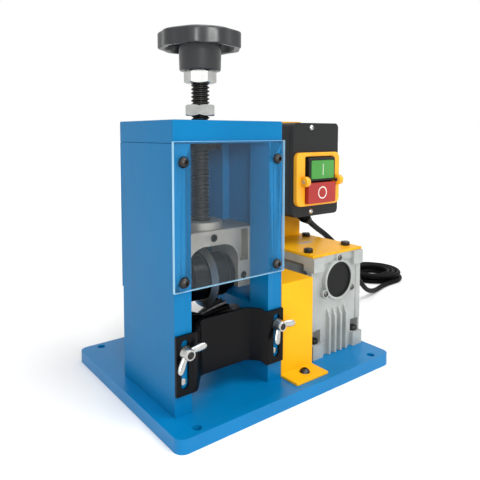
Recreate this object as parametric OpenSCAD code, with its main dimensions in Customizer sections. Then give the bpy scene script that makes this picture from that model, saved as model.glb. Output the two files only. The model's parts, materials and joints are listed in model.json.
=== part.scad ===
// Bench wire stripper: a motor and worm gearbox turn a grooved feed roller under a
// free running disc blade, and a hand screw sets the height of the blade's carriage.
// Millimetres. Origin at the middle of the base plate's underside.
// X runs to the right along the rollers, Y runs to the back with the wire, Z is up.

/* [Base plate] */
// Width of the base plate
base_w = 300; // [290:1:340]
// Depth of the base plate
base_d = 240; // [236:1:280]
// Thickness of the base plate
base_t = 14; // [10:1:20]
// Corner radius of the base plate
base_corner_r = 10; // [4:1:16]
// Diameter of the four bench bolt holes
bench_hole_d = 9; // [6:0.5:10]
// Distance between the bench holes from left to right
bench_pitch_x = 250; // [244:1:260]
// Distance between the bench holes from front to back
bench_pitch_y = 220; // [214:1:222]

/* [Tower] */
// Outer width of the tower
tower_w = 134; // [130:1:140]
// Outer depth of the tower
tower_d = 112; // [104:1:116]
// Height of the tower above the base plate
tower_h = 280; // [270:1:310]
// Distance of the tower's middle to the left of the base's middle
tower_left = 67; // [65:1:72]
// Distance of the tower's middle in front of the base's middle
tower_front = 30; // [28:1:34]
// Thickness of the tower's two side plates
side_t = 19; // [17:0.5:20]
// Thickness of the tower's top plate
top_t = 22; // [18:1:26]
// Thickness of the back panel
back_t = 3; // [2:0.5:5]
// Height of the wire exit below the back panel
exit_h = 100; // [80:1:120]

/* [Slideway] */
// Width of the slideway grooves in the side plates
way_w = 51; // [44:1:54]
// Depth of the slideway grooves
way_depth = 9; // [6:0.5:10]
// Clearance of the carriage in its slideways
way_gap = 0.3; // [0.2:0.05:0.4]

/* [Guard] */
// Thickness of the clear guard
guard_t = 3; // [2:0.5:5]
// How far the clear guard covers the top plate's front
guard_over = 2; // [0:0.5:6]
// Height of the guard's lower edge above the base plate
guard_lift = 120; // [117:1:124]
// Distance of the guard's lower screws from its lower edge
guard_low_inset = 9; // [7:1:14]
// Distance of the guard's upper screws from its upper edge
guard_high_inset = 19; // [12:1:24]
// Head diameter of the guard screws
guard_head_d = 11; // [9:0.5:13]
// Head height of the guard screws
guard_head_h = 4.5; // [3:0.5:6]
// Thread diameter of the guard screws
guard_screw_d = 6; // [4:1:7]

/* [Carriage and blade] */
// Height of the blade carriage
carriage_h = 66; // [62:1:72]
// Height of the blade's axis above the feed roller's axis
blade_rise = 62.5; // [61:0.5:70]
// Height of the blade's axis above the carriage's lower edge
blade_axis_h = 12.5; // [11:0.5:14]
// Width of the carriage's arch
arch_w = 64; // [60:1:66]
// Height of the arch's crown above the carriage's lower edge
arch_h = 50; // [48:1:52]
// Corner radius of the arch
arch_r = 20; // [10:1:24]
// Depth of the pockets in the front of the carriage
pocket_depth = 12; // [6:1:16]
// Diameter of the disc blade
blade_d = 68; // [62:1:70]
// Thickness of the disc blade
blade_t = 9; // [6:0.5:12]
// Depth of the blade's ground bevel
bevel_h = 7; // [4:0.5:9]
// Width of the blade's cutting edge
edge_w = 1; // [0.5:0.1:2]
// Diameter of the blade's shaft
blade_shaft_d = 15; // [12:0.5:16]
// Diameter of the spacers beside the blade
spacer_d = 40; // [30:1:46]
// Wall of the plain bushes that carry the blade's shaft
bush_wall = 2; // [1.5:0.1:3]

/* [Feed roller] */
// Diameter of the feed roller's flanges
roller_d = 62.8; // [60:0.2:66]
// Diameter of the feed roller's waist
waist_d = 40; // [36:0.5:44]
// Width of the toothed part of the feed roller
roller_w = 56; // [50:1:60]
// Depth of the feed roller's teeth
tooth_h = 2; // [1:0.1:3]
// Number of teeth on each flank of the feed roller
tooth_count = 26; // [18:1:32]
// Slant of the teeth across a flank, in degrees
tooth_slant = 16; // [8:1:24]
// Diameter of the plain hubs beside the teeth
roller_hub_d = 36; // [30:1:40]
// Length of each plain hub
roller_hub_l = 12; // [8:1:14]
// Diameter of the feed roller's shaft
feed_shaft_d = 20; // [18:0.5:22]
// Outer diameter of the feed roller's bearings
bearing_d = 42; // [40:1:46]
// Width of the feed roller's bearings
bearing_w = 12; // [10:0.5:14]

/* [Wire guide] */
// Thickness of the bent guide plate
guide_t = 3; // [2:0.5:4]
// Height of the guide plate's flanges
guide_h = 58; // [56:1:62]
// Height of the guide plate's lower edge above the base plate
guide_lift = 21; // [20:1:26]
// How far the middle panel stands above the flanges
guide_crown = 3.5; // [1:0.5:5]
// Width of each sloping wall of the wire guide
guide_bend_w = 13; // [10:0.5:16]
// How much higher the guide's middle ends than its flanges, at the bottom
guide_rise = 9; // [4:0.5:12]
// Depth of the recess
guide_recess = 16; // [12:0.5:17]
// Width of each flange
guide_flange_w = 24; // [22:0.5:26]
// Width of the two slots
slot_w = 8; // [7:0.5:9]
// Length of the two slots
slot_l = 47.5; // [44:0.5:49]
// Height of the slots above the guide plate's lower edge
slot_lift = 6; // [4:0.5:7]
// Height of the wing screws above the base plate
wing_lift = 63.3; // [60:0.1:66]
// Thread diameter of the wing screws
wing_screw_d = 6; // [5:0.5:6.5]
// Length of each wing from the screw's axis
wing_l = 23; // [18:1:26]
// Diameter of the wing screws' hubs
wing_hub_d = 11; // [10:0.5:13]

/* [Adjusting screw and knob] */
// Diameter of the adjusting screw
screw_d = 20; // [18:0.5:22]
// Diameter of the thrust collar at the screw's lower end
thrust_d = 26; // [24:1:30]
// Thickness of the thrust collar
thrust_t = 4; // [3:0.5:6]
// Width across the flats of the two nuts on the screw
nut_af = 30; // [27:0.5:34]
// Thickness of the stop nut
stop_nut_t = 11.5; // [10:0.5:14]
// Gap below the stop nut, which is the blade's way down
stop_gap = 6; // [5.8:0.1:10]
// Height of the lock nut above the tower's top
lock_nut_lift = 40; // [38:1:60]
// Thickness of the lock nut
lock_nut_t = 13; // [10:0.5:15]
// Diameter of the knob
knob_d = 89; // [76:1:100]
// Height of the knob's rim
knob_rim_h = 23.5; // [18:0.5:28]
// Diameter of the knob's hub
knob_hub_d = 44; // [38:1:48]
// Height of the knob's hub below the rim
knob_hub_h = 24.5; // [20:0.5:32]
// Number of grip lobes around the knob
lobe_count = 9; // [6:1:12]
// Depth of the hollows between the lobes
lobe_depth = 4; // [1:0.5:5]
// Wall of the knob's rim
knob_wall = 6; // [4:0.5:9]

/* [Coupling cover] */
// Width of the coupling cover
cover_w = 48; // [44:1:52]
// Height of the coupling cover
cover_h = 104; // [96:1:106]
// Sheet thickness of the coupling cover
cover_t = 3; // [2:0.5:4]
// Length of the cover's feet
cover_foot = 25; // [20:1:28]
// Outer diameter of the shaft coupling
coupling_d = 44; // [36:1:50]
// Length of the shaft coupling
coupling_l = 38; // [32:1:42]

/* [Gearbox] */
// Width of the gearbox feet along the output shaft
gear_w = 88; // [84:1:92]
// Width of the gearbox casting between its feet
gear_case_w = 72; // [68:1:76]
// Depth of the gearbox along the worm
gear_d = 100; // [96:1:104]
// Height of the gearbox
gear_h = 121.5; // [120:0.5:126]
// Height of the output axis above the feet
output_h = 50; // [49:0.5:52]
// Distance between the output axis and the worm axis
worm_offset = 40; // [39:0.5:42]
// Distance from the tower to the gearbox
gear_space = 57; // [56:1:60]
// Distance from the output axis forward to the gearbox's front face
gear_front = 50; // [48:1:52]
// Thickness of the foot plates
foot_t = 9; // [7:0.5:11]
// Size of the corner pads on the foot plates
foot_pad = 17; // [14:1:19]
// Diameter of the worm's end cap
cap_d = 43; // [40:1:44]
// Circle of the end cap's screws
ear_pitch_d = 54; // [52:1:54]
// Outer diameter of the end cap's screw ears
ear_d = 9; // [8:0.5:9]
// Number of cooling fins below the end cap
fin_count = 4; // [3:1:5]
// Thickness of a cooling fin
fin_t = 3; // [2:0.5:4]
// Height that the fins stand out
fin_h = 3; // [2:0.5:5]
// How far the fins end below the end cap
fin_drop = 9; // [5:0.5:14]
// Width of the casting's corner columns
column_w = 8; // [6:0.5:10]
// How far the corner columns stand behind the front lugs
column_step = 4; // [2:0.5:6]
// Diameter of the output covers
output_cover_d = 70; // [60:1:74]
// Diameter of the worm shaft
worm_shaft_d = 14; // [12:0.5:16]
// Outer diameter of the worm's bearings
worm_bearing_d = 32; // [30:1:34]
// Outer diameter of the worm
worm_d = 22; // [19:0.5:23]
// Number of teeth on the worm wheel
wheel_teeth = 30; // [24:1:40]
// Face width of the worm wheel
wheel_w = 20; // [16:1:24]

/* [Switch] */
// Sheet thickness of the switch bracket
bracket_t = 3; // [2:0.5:4]
// Depth of the bracket's shelf on the gearbox
shelf_d = 108; // [104:1:112]
// Height of the bracket's upright above the shelf
upright_h = 159; // [156:1:170]
// Width of the switch box
box_w = 82; // [80:1:86]
// Depth of the switch box
box_d = 54; // [50:1:56]
// Height of the switch box
box_h = 118.5; // [116:0.5:124]
// Gap between the switch box and the shelf
box_lift = 37.5; // [36:0.5:40]
// Corner radius of the switch box
box_r = 6; // [4:0.5:10]
// Wall of the switch box
box_wall = 2.5; // [2:0.5:4]
// Thickness of the switch box cover
lid_t = 6; // [4:0.5:8]
// Width of the yellow bezel
bezel_w = 78; // [74:1:79]
// Height of the yellow bezel
bezel_h = 74.5; // [70:0.5:78]
// Thickness of the yellow bezel
bezel_t = 4; // [3:0.5:6]
// Height of the bezel above the switch box's lower edge
bezel_lift = 15.5; // [12:0.5:18]
// Width of the two push buttons
button_w = 50; // [46:1:54]
// Height of the green start button
start_h = 24; // [20:0.5:26]
// Height of the red stop button
stop_h = 26; // [22:0.5:28]
// Wall between the two buttons
button_wall = 4; // [3:0.5:6]
// How far the stop button stands out of the bezel
stop_proud = 7; // [5:0.5:9]
// Travel of both buttons
button_travel = 4; // [3:0.5:5]
// Clearance around the buttons
button_gap = 0.5; // [0.35:0.05:0.8]

/* [Motor] */
// Diameter of the motor's finned frame
motor_d = 118; // [110:1:122]
// Length of the motor's finned frame
motor_l = 74; // [66:1:90]
// Diameter of the motor's mounting flange
motor_flange_d = 116; // [105:1:122]
// Thickness of the motor's mounting flange
motor_flange_t = 8; // [6:0.5:12]
// Number of the motor's cooling fins
motor_fins = 32; // [24:2:40]
// Depth of the motor's cooling fins
motor_fin_h = 7; // [4:0.5:9]
// Length of the fan cowl
cowl_l = 32; // [28:1:40]
// Wall of the fan cowl
cowl_wall = 2; // [1.5:0.5:3]
// Diameter of the rotor
rotor_d = 62; // [54:1:66]
// Number of fan blades
fan_blades = 8; // [5:1:10]

/* [Cord] */
// Diameter of the power cord
cord_d = 8; // [6:0.5:8]
// Number of loops in the coiled cord
coil_loops = 5; // [3:1:6]
// Radius of the coil's outer loops, measured to the cord's middle
coil_r = 52; // [48:1:56]
// Distance between neighbouring loops and layers
coil_pitch = 9; // [8.8:0.1:10]
// Length of the plug body
plug_l = 40; // [34:1:46]

/* [Hidden] */
$fn = 64;

// Clearances: a running fit on the radius, a seat within one body, and free air
// between faces that move past each other
run_gap = 0.05;
seat_gap = 0.02;
free_gap = 0.3;
// Overlap that keeps a cut from ending flush with a face
cut = 1;

// Tower faces and the common axis of blade, roller and screw
axis_x = -tower_left;
axis_y = -tower_front;
tower_l = axis_x - tower_w / 2;
tower_r = axis_x + tower_w / 2;
tower_f = axis_y - tower_d / 2;
tower_b = axis_y + tower_d / 2;
tower_top = base_t + tower_h;
inner_w = tower_w - 2 * side_t;
plate_top = tower_top - top_t;
edge_dx = tower_w / 2 - side_t / 2;

// Heights of the turning axes
output_z = base_t + output_h;
worm_z = output_z + worm_offset;
blade_z = output_z + blade_rise;
carriage_z = blade_z - blade_axis_h;
carriage_top = carriage_z + carriage_h;
carriage_d = way_w - 2 * way_gap;
carriage_w = inner_w - 2 * way_gap;

// Guard and guide stand on the tower's front face
guard_z = base_t + guard_lift;
guard_h = tower_h - top_t + guard_over - guard_lift;
guard_screw_z = [guard_z + guard_low_inset, guard_z + guard_h - guard_high_inset];
guide_z = base_t + guide_lift;
guide_back = tower_f - free_gap;
wing_z = base_t + wing_lift;
wing_screw_reach = 16;
wing_hub_l = 9;
wing_t = 4;
wing_root_h = 9;
wing_tip_d = 9;

// Screw, nuts and knob
retainer_wall = 10;
retainer_top_t = 3.5;
journal_d = 12;
lobe_turn = -13;
journal_l = 12;
stop_nut_z = tower_top + stop_gap;
lock_nut_z = tower_top + lock_nut_lift;
knob_z = lock_nut_z + lock_nut_t;
knob_rim_z = knob_z + knob_hub_h;
knob_top = knob_rim_z + knob_rim_h;
screw_top = knob_rim_z + knob_rim_h / 2;
bush_d = 30;
bush_flange_d = 44;
bush_flange_t = 8;

// Gearbox: its left foot edge, front face and middle
gear_l = tower_r + gear_space;
gear_x = gear_l + gear_w / 2;
gear_f = axis_y - gear_front;
gear_b = gear_f + gear_d;
gear_top = base_t + gear_h;
output_shaft_d = 18;
output_bearing_d = 47;
output_bearing_w = 10;
output_cover_t = 8;
wheel_r = worm_offset - worm_d / 2 - 0.5;
neck_d = 60;
neck_l = 16;
motor_f = gear_b + neck_l;
frame_f = motor_f + motor_flange_t;
frame_b = frame_f + motor_l;
cowl_b = frame_b + cowl_l;
foot_hole_dx = gear_w / 2 - foot_pad / 2;
foot_hole_inset = foot_pad / 2;
foot_bolt_d = 6;

// Switch: shelf, upright, box, bezel and buttons
shelf_z = gear_top;
shelf_top = shelf_z + bracket_t;
shelf_f = gear_f + 3;
upright_f = shelf_f + shelf_d - bracket_t;
box_x = gear_x + 8;
box_f = upright_f - box_d;
box_z = shelf_top + box_lift;
lid_f = box_f - lid_t;
bezel_z = box_z + bezel_lift;
bezel_f = lid_f - bezel_t;
bezel_x = box_x - 1;
stop_z = bezel_z + 2;
start_z = stop_z + stop_h + button_wall;
button_back = box_f + 6;
window_r = 2;

// Coupling between the feed shaft and the gearbox output shaft
coupling_x = tower_r + 6;
shaft_joint_x = coupling_x + coupling_l / 2;

// Lower end of the slideways, above the bearing seats
way_z = output_z + bearing_d / 2 + 8;
guard_screw_reach = 12;
bolt_reach = 10;

// Coupling cover: its front and back faces and its bolts
cover_f = tower_f - 1;
cover_b = tower_b + 1;
cover_bolt_x = tower_r + cover_w / 2 + 2;
cover_bolt_y = [cover_f - cover_foot * 0.4, cover_b + cover_foot * 0.4];

// Bolts that hold the shelf on the gearbox
shelf_bolt_dx = 33.5;
shelf_bolt_y = [gear_f + 20, gear_b - 10];

// Details of the carriage and the blade's bushes
pocket_rib = 2.5;
pocket_low = 29;
crown_hole_drop = 8;
crown_hole_d = 8.5;
column_hole_dx = 39.5;
column_hole_d = 8;
hole_depth = 10;
bush_outer_d = blade_shaft_d + 2 * bush_wall;
bush_l = (inner_w - arch_w) / 2 + way_depth - way_gap;
spacer_step = 8;
retainer_h = thrust_t + 2 * free_gap + retainer_top_t;
wing_sweep = 2;

// Details of the gearbox casting
case_r = 44;
case_step = 5;
cap_rim = 2;
cap_depth = 8;
notch_h = 16;
ear_angles = [90, 210, 330];
ear_screw_d = 4;
ear_screw_l = 12;
fin_pitch = 10;
fin_l = worm_z - cap_d / 2 - cap_rim - fin_drop - base_t;
worm_bearing_w = 10;

// Details of the motor
fan_gap = 4;
fan_reach = 20;
cowl_slots = 12;

// Details of the bracket and the switch
shelf_slot_x = gear_x + 4;
shelf_slot_y = shelf_f + 59;
shelf_slot_l = 16;
shelf_slot_w = 8;
m4_d = 4;
cover_screw_inset = 6;
cover_screw_left = 9;
bezel_button_x = bezel_x + 1.5;
pin_ear_w = 7;
pin_ear_d = 13;
pin_d = 5;
pin_z = start_z - button_wall / 2;
pin_dx = button_w / 2 + button_gap + pin_ear_w / 2 + 1;

// Cord: where it leaves the gland, its way down to the floor, its coil and its plug
gland = [box_x - 9, -20, box_z - 3];
cord_route = [
    [116, -12, 166], [134, -3, 157], [152, 5, 148], [170, 11, 139], [188, 15, 128],
    [206, 18, 115], [222, 20, 101], [237, 22, 87], [252, 25, 72], [267, 29, 57],
    [283, 34, 43], [300, 40, 30], [318, 47, 19], [337, 54, 11], [357, 61, 6],
    [377, 67, 4], [396, 72, 4], [414, 75, 4], [432, 76, 4]
];
coil_x = 440;
coil_y = 76 + coil_r;
coil_turns = coil_loops + 0.5;
coil_rings = 24;
coil_lift = coil_pitch;
plug_lead = [for (s = [0, 24, 48]) coil_point(coil_turns) - [cord_d + s, 0, 0]];
plug_r = cord_d / 2 + coil_lift;
plug_spread = 5;
plug_pin_pitch = 19;

// Colours of the finishes
blue = "#0e7ec6";
yellow = "#fdc52e";
cast_grey = "#b9bcb8";
dark_grey = "#3a3d3f";
black = "#1c1d1f";
zinc = "#c9cccb";
steel = "#8f9497";

// Fasteners
m6_d = 6;
m6_af = 10;
m6_head_h = 5;
socket_head_d = 11;
socket_head_h = 6.5;
socket_recess = 0.5;
tower_screw_dy = 38;
tower_screw_reach = 20;

// A rod along X, Y, or from one point towards another
module rod_x(d, l) { rotate([0, 90, 0]) cylinder(d = d, h = l); }
module rod_y(d, l) { rotate([-90, 0, 0]) cylinder(d = d, h = l); }
module towards(p, q) {
    v = q - p;
    translate(p) rotate([0, acos(v.z / norm(v)), atan2(v.y, v.x)]) children();
}
// A box between two corners
module block(low, high) { translate(low) cube(high - low); }
// A flat outline with round corners, centred on the origin
module rounded(w, h, r) {
    square([w - 2 * r, h], center = true);
    square([w, h - 2 * r], center = true);
    for (x = [-1, 1], y = [-1, 1])
        translate([x * (w / 2 - r), y * (h / 2 - r)]) circle(r = r);
}
// An upright plate with round corners: middle x, front y and lower edge z at the origin
module upright_plate(w, h, r, t) {
    translate([0, t, h / 2]) rotate([90, 0, 0]) linear_extrude(t) rounded(w, h, r);
}
// A tube standing on the origin
module tube(outer_d, inner_d, l) {
    difference() {
        cylinder(d = outer_d, h = l);
        translate([0, 0, -cut]) cylinder(d = inner_d, h = l + 2 * cut);
    }
}
// A hexagon bolt standing on the origin, head up and shank down
module hex_bolt(d, af, head_h, l) {
    intersection() {
        cylinder(d = af / cos(30), h = head_h, $fn = 6);
        translate([0, 0, -cut]) cylinder(d1 = 2 * af, d2 = af * 0.98, h = head_h + cut);
    }
    translate([0, 0, -l]) cylinder(d = d, h = l);
}
// A button head socket screw, head towards +Z and shank below
module button_screw(d, head_d, head_h, l) {
    dome_r = (head_d * head_d / 4 + head_h * head_h) / (2 * head_h);
    difference() {
        rotate_extrude() intersection() {
            square([head_d / 2, head_h]);
            translate([0, head_h - dome_r]) circle(r = dome_r);
        }
        translate([0, 0, head_h / 2]) cylinder(d = d * 0.75, h = head_h, $fn = 6);
    }
    translate([0, 0, -l]) cylinder(d = d, h = l);
}
// Places of repeated parts
module at_bench_holes() {
    for (x = [-1, 1], y = [-1, 1])
        translate([x * bench_pitch_x / 2, y * bench_pitch_y / 2, 0]) children();
}
module at_tower_screws() {
    for (x = [-1, 1], y = [-1, 1])
        translate([axis_x + x * edge_dx, axis_y + y * tower_screw_dy, 0]) children();
}
module at_guard_screws() {
    for (x = [-1, 1], z = guard_screw_z)
        translate([axis_x + x * edge_dx, tower_f, z]) children();
}
module at_cover_bolts() {
    for (y = cover_bolt_y) translate([cover_bolt_x, y, base_t]) children();
}
module at_gearbox_feet() {
    for (x = [-1, 1], y = [gear_f + foot_hole_inset, gear_b - foot_hole_inset])
        translate([gear_x + x * foot_hole_dx, y, base_t]) children();
}
module at_shelf_bolts() {
    for (x = [-1, 1], y = shelf_bolt_y)
        translate([gear_x + x * shelf_bolt_dx, y, shelf_z]) children();
}

// Tower
module base_plate() {
    color(blue) difference() {
        linear_extrude(base_t) rounded(base_w, base_d, base_corner_r);
        translate([0, 0, -cut]) at_bench_holes() cylinder(d = bench_hole_d, h = base_t + 2 * cut);
        translate([0, 0, -cut]) at_tower_screws() {
            cylinder(d = m6_d + 2 * seat_gap, h = base_t + 2 * cut);
            cylinder(d = socket_head_d + 2 * free_gap, h = socket_head_h + socket_recess + cut);
        }
        at_cover_bolts() translate([0, 0, -bolt_reach])
            cylinder(d = m6_d + 2 * seat_gap, h = bolt_reach + cut);
        at_gearbox_feet() translate([0, 0, -bolt_reach])
            cylinder(d = m6_d + 2 * seat_gap, h = bolt_reach + cut);
    }
}
module tower_screws() {
    color(dark_grey) at_tower_screws() difference() {
        union() {
            translate([0, 0, socket_recess]) cylinder(d = socket_head_d, h = socket_head_h);
            translate([0, 0, socket_recess])
                cylinder(d = m6_d, h = base_t + tower_screw_reach - socket_recess);
        }
        translate([0, 0, -cut]) cylinder(d = 5, h = cut + socket_recess + 3, $fn = 6);
    }
}
// The left side plate about the tower's axis; the right one is its mirror image
module side_plate() {
    way_x = inner_w / 2 + way_depth;
    difference() {
        block([-tower_w / 2, tower_f - axis_y, base_t],
              [-inner_w / 2, tower_b - back_t - axis_y, plate_top]);
        block([-way_x, -way_w / 2, way_z], [0, way_w / 2, tower_top]);
        translate([-inner_w / 2 - bearing_w, 0, output_z])
            rod_x(bearing_d + 2 * seat_gap, bearing_w + cut);
        for (z = guard_screw_z) translate([-edge_dx, tower_f - axis_y - cut, z])
            rod_y(guard_screw_d + 2 * seat_gap, guard_screw_reach + cut);
        translate([-edge_dx, tower_f - axis_y - cut, wing_z])
            rod_y(wing_screw_d + 2 * run_gap, wing_screw_reach + 2 * cut);
        for (y = [-1, 1]) translate([-edge_dx, y * tower_screw_dy, base_t - cut])
            cylinder(d = m6_d + 2 * seat_gap, h = tower_screw_reach + cut);
    }
}
module left_side_plate() {
    color(blue) translate([axis_x, axis_y, 0]) side_plate();
}
module right_side_plate() {
    color(blue) translate([axis_x, axis_y, 0]) difference() {
        mirror([1, 0, 0]) side_plate();
        translate([inner_w / 2, 0, output_z]) rod_x(feed_shaft_d + 4, side_t + cut);
    }
}
module top_plate() {
    color(blue) difference() {
        block([tower_l, tower_f, plate_top], [tower_r, tower_b, tower_top]);
        translate([axis_x, axis_y, plate_top - cut])
            cylinder(d = bush_d + 2 * seat_gap, h = top_t + 2 * cut);
    }
}
module back_panel() {
    color(blue) block([tower_l, tower_b - back_t, base_t + exit_h], [tower_r, tower_b, plate_top]);
}
module screw_bush() {
    color("#b08d4a") translate([axis_x, axis_y, plate_top - bush_flange_t]) difference() {
        union() {
            cylinder(d = bush_flange_d, h = bush_flange_t);
            cylinder(d = bush_d, h = bush_flange_t + top_t);
        }
        translate([0, 0, -cut])
            cylinder(d = screw_d + 2 * run_gap, h = bush_flange_t + top_t + 2 * cut);
    }
}
module front_guard() {
    color("#dfeaf0", 0.3) difference() {
        translate([axis_x, tower_f - guard_t, guard_z])
            upright_plate(tower_w + 2, guard_h, 2, guard_t);
        at_guard_screws() translate([0, -guard_t - cut, 0])
            rod_y(guard_screw_d + 2 * free_gap, guard_t + 2 * cut);
    }
}
module guard_screws() {
    color(dark_grey) at_guard_screws() translate([0, -guard_t, 0]) rotate([90, 0, 0])
        button_screw(guard_screw_d, guard_head_d, guard_head_h, guard_t + guard_screw_reach - 1);
}
module coupling_cover() {
    color(yellow) difference() {
        union() {
            block([tower_r, cover_f, base_t], [tower_r + cover_w, cover_b, base_t + cover_h]);
            block([tower_r, cover_f - cover_foot, base_t],
                  [tower_r + cover_w, cover_b + cover_foot, base_t + cover_t]);
        }
        block([tower_r - cut, cover_f + cover_t, base_t - cut],
              [tower_r + cover_w + cut, cover_b - cover_t, base_t + cover_h - cover_t]);
        at_cover_bolts() translate([0, 0, -cut]) cylinder(d = m6_d + 1, h = cover_t + 2 * cut);
    }
}
module cover_bolts() {
    color(black) at_cover_bolts() translate([0, 0, cover_t])
        button_screw(m6_d, socket_head_d + 1, guard_head_h, cover_t + bolt_reach - 1);
}
module roller_bearings() {
    color(steel) for (x = [axis_x - inner_w / 2 - bearing_w, axis_x + inner_w / 2])
        translate([x, axis_y, output_z]) rotate([0, 90, 0]) difference() {
            tube(bearing_d, feed_shaft_d + 2 * run_gap, bearing_w);
            for (z = [-cut, bearing_w - cut]) translate([0, 0, z])
                tube(bearing_d * 0.86, feed_shaft_d * 1.35, 2 * cut);
        }
}

// Carriage, blade and adjusting screw
module arch_outline() {
    translate([-arch_w / 2, -cut]) square([arch_w, arch_h - arch_r + cut]);
    translate([-arch_w / 2 + arch_r, -cut]) square([arch_w - 2 * arch_r, arch_h + cut]);
    for (x = [-1, 1]) translate([x * (arch_w / 2 - arch_r), arch_h - arch_r]) circle(r = arch_r);
}
module carriage() {
    total_w = inner_w + 2 * (way_depth - way_gap);
    half_d = carriage_d / 2;
    pocket_in = arch_w / 2 + pocket_rib;
    pocket_out = inner_w / 2 - pocket_rib;
    color("#c3c7c8") translate([axis_x, axis_y, carriage_z]) difference() {
        translate([0, half_d, 0]) rotate([90, 0, 0]) linear_extrude(carriage_d) difference() {
            translate([-total_w / 2, 0]) square([total_w, carriage_h]);
            arch_outline();
        }
        for (x = [-1, 1], y = [-1, 1]) translate([x * (pocket_in + pocket_out) / 2,
                y * half_d, (pocket_low + carriage_h - pocket_rib) / 2])
            cube([pocket_out - pocket_in, 2 * pocket_depth,
                  carriage_h - pocket_rib - pocket_low], center = true);
        translate([-total_w / 2 - cut, 0, blade_axis_h])
            rod_x(bush_outer_d + 2 * seat_gap, total_w + 2 * cut);
        translate([0, 0, carriage_h - journal_l - cut])
            cylinder(d = journal_d + 2 * run_gap, h = journal_l + 2 * cut);
        translate([0, -half_d - cut, carriage_h - crown_hole_drop]) rod_y(crown_hole_d, cut + hole_depth);
        for (x = [-1, 1]) translate([x * column_hole_dx, -half_d - cut, blade_axis_h])
            rod_y(column_hole_d, cut + hole_depth);
    }
}
module blade_bushes() {
    color("#b08d4a") for (x = [axis_x - arch_w / 2 - bush_l, axis_x + arch_w / 2])
        translate([x, axis_y, blade_z]) rotate([0, 90, 0])
            tube(bush_outer_d, blade_shaft_d + 2 * run_gap, bush_l);
}
module blade_shaft() {
    shaft_l = arch_w + 2 * bush_l - 4;
    color(steel) translate([axis_x - shaft_l / 2, axis_y, blade_z]) rod_x(blade_shaft_d, shaft_l);
}
module blade_disc() {
    r = blade_d / 2;
    color("#777b7e") translate([axis_x, axis_y, blade_z]) rotate([0, 90, 0]) difference() {
        rotate_extrude($fn = 96) polygon([
            [0, -blade_t / 2], [r - bevel_h, -blade_t / 2], [r, -edge_w / 2],
            [r, edge_w / 2], [r - bevel_h, blade_t / 2], [0, blade_t / 2]
        ]);
        translate([0, 0, -blade_t]) cylinder(d = blade_shaft_d + 2 * seat_gap, h = 2 * blade_t);
    }
}
module blade_spacers() {
    spacer_l = arch_w / 2 - blade_t / 2 - free_gap;
    step_l = spacer_l / 3;
    color(dark_grey) for (x = [-1, 1]) translate([axis_x, axis_y, blade_z])
        rotate([0, 90 * x, 0]) translate([0, 0, blade_t / 2]) difference() {
            union() {
                cylinder(d = spacer_d, h = spacer_l - step_l);
                cylinder(d = spacer_d - spacer_step, h = spacer_l);
            }
            translate([0, 0, -cut]) cylinder(d = blade_shaft_d + 2 * seat_gap, h = spacer_l + 2 * cut);
        }
}
module screw_retainer() {
    color(dark_grey) translate([axis_x, axis_y, carriage_top]) difference() {
        cylinder(d = thrust_d + 2 * retainer_wall, h = retainer_h);
        translate([0, 0, -cut])
            cylinder(d = thrust_d + 2 * free_gap, h = thrust_t + 2 * free_gap + cut);
        cylinder(d = screw_d + 2 * free_gap, h = retainer_h + cut);
    }
}
module adjusting_screw() {
    collar_z = carriage_top + free_gap;
    color(black) translate([axis_x, axis_y, 0]) {
        translate([0, 0, carriage_top - journal_l]) cylinder(d = journal_d, h = journal_l + cut);
        translate([0, 0, collar_z]) cylinder(d = thrust_d, h = thrust_t);
        translate([0, 0, collar_z]) cylinder(d = screw_d, h = screw_top - collar_z);
    }
}
module screw_nut(t) {
    corner_d = nut_af / cos(30);
    chamfer = (corner_d - nut_af) / 2 * tan(30);
    difference() {
        intersection() {
            cylinder(d = corner_d, h = t, $fn = 6);
            rotate_extrude() polygon([
                [0, 0], [nut_af / 2, 0], [corner_d / 2, chamfer],
                [corner_d / 2, t - chamfer], [nut_af / 2, t], [0, t]
            ]);
        }
        translate([0, 0, -cut]) cylinder(d = screw_d + 2 * seat_gap, h = t + 2 * cut);
    }
}
module stop_nut() {
    color(zinc) translate([axis_x, axis_y, stop_nut_z]) rotate([0, 0, -7]) screw_nut(stop_nut_t);
}
module lock_nut() {
    color(zinc) translate([axis_x, axis_y, lock_nut_z]) rotate([0, 0, 23]) screw_nut(lock_nut_t);
}
module lobed_outline() {
    points_per_lobe = 10;
    count = lobe_count * points_per_lobe;
    polygon([for (i = [0 : count - 1]) let (a = 360 * i / count)
        (knob_d / 2 - lobe_depth * (1 - cos(lobe_count * a)) / 2) * [cos(a), sin(a)]]);
}
module knob() {
    r = knob_d / 2;
    dome_h = knob_rim_h / 4;
    dome_r = (r * r + dome_h * dome_h) / (2 * dome_h);
    color(dark_grey) translate([axis_x, axis_y, 0]) difference() {
        union() {
            translate([0, 0, knob_rim_z]) intersection() {
                linear_extrude(knob_rim_h) rotate(lobe_turn) lobed_outline();
                rotate_extrude($fn = 96) intersection() {
                    square([r, knob_rim_h]);
                    translate([0, knob_rim_h - dome_r]) circle(r = dome_r, $fn = 360);
                }
            }
            translate([0, 0, knob_z]) cylinder(d = knob_hub_d, h = knob_hub_h + knob_rim_h / 2);
        }
        translate([0, 0, knob_rim_z - cut])
            tube(knob_d - 2 * (knob_wall + lobe_depth), knob_hub_d, knob_rim_h / 2 + cut);
        translate([0, 0, knob_z - cut])
            cylinder(d = screw_d + 2 * seat_gap, h = screw_top - knob_z + cut);
    }
}

// Feed roller and its drive
// A ring of the roller around Z at height z, with the teeth cut in where toothed is 1
function roller_ring(z, r, toothed, turn) = [
    for (i = [0 : tooth_count - 1], p = [[0, 1], [0.3, 1], [0.5, 0], [0.8, 0]])
        let (a = 360 * (i + p[0]) / tooth_count + turn)
        [(r - tooth_h * p[1] * toothed) * cos(a), (r - tooth_h * p[1] * toothed) * sin(a), z]
];
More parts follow.
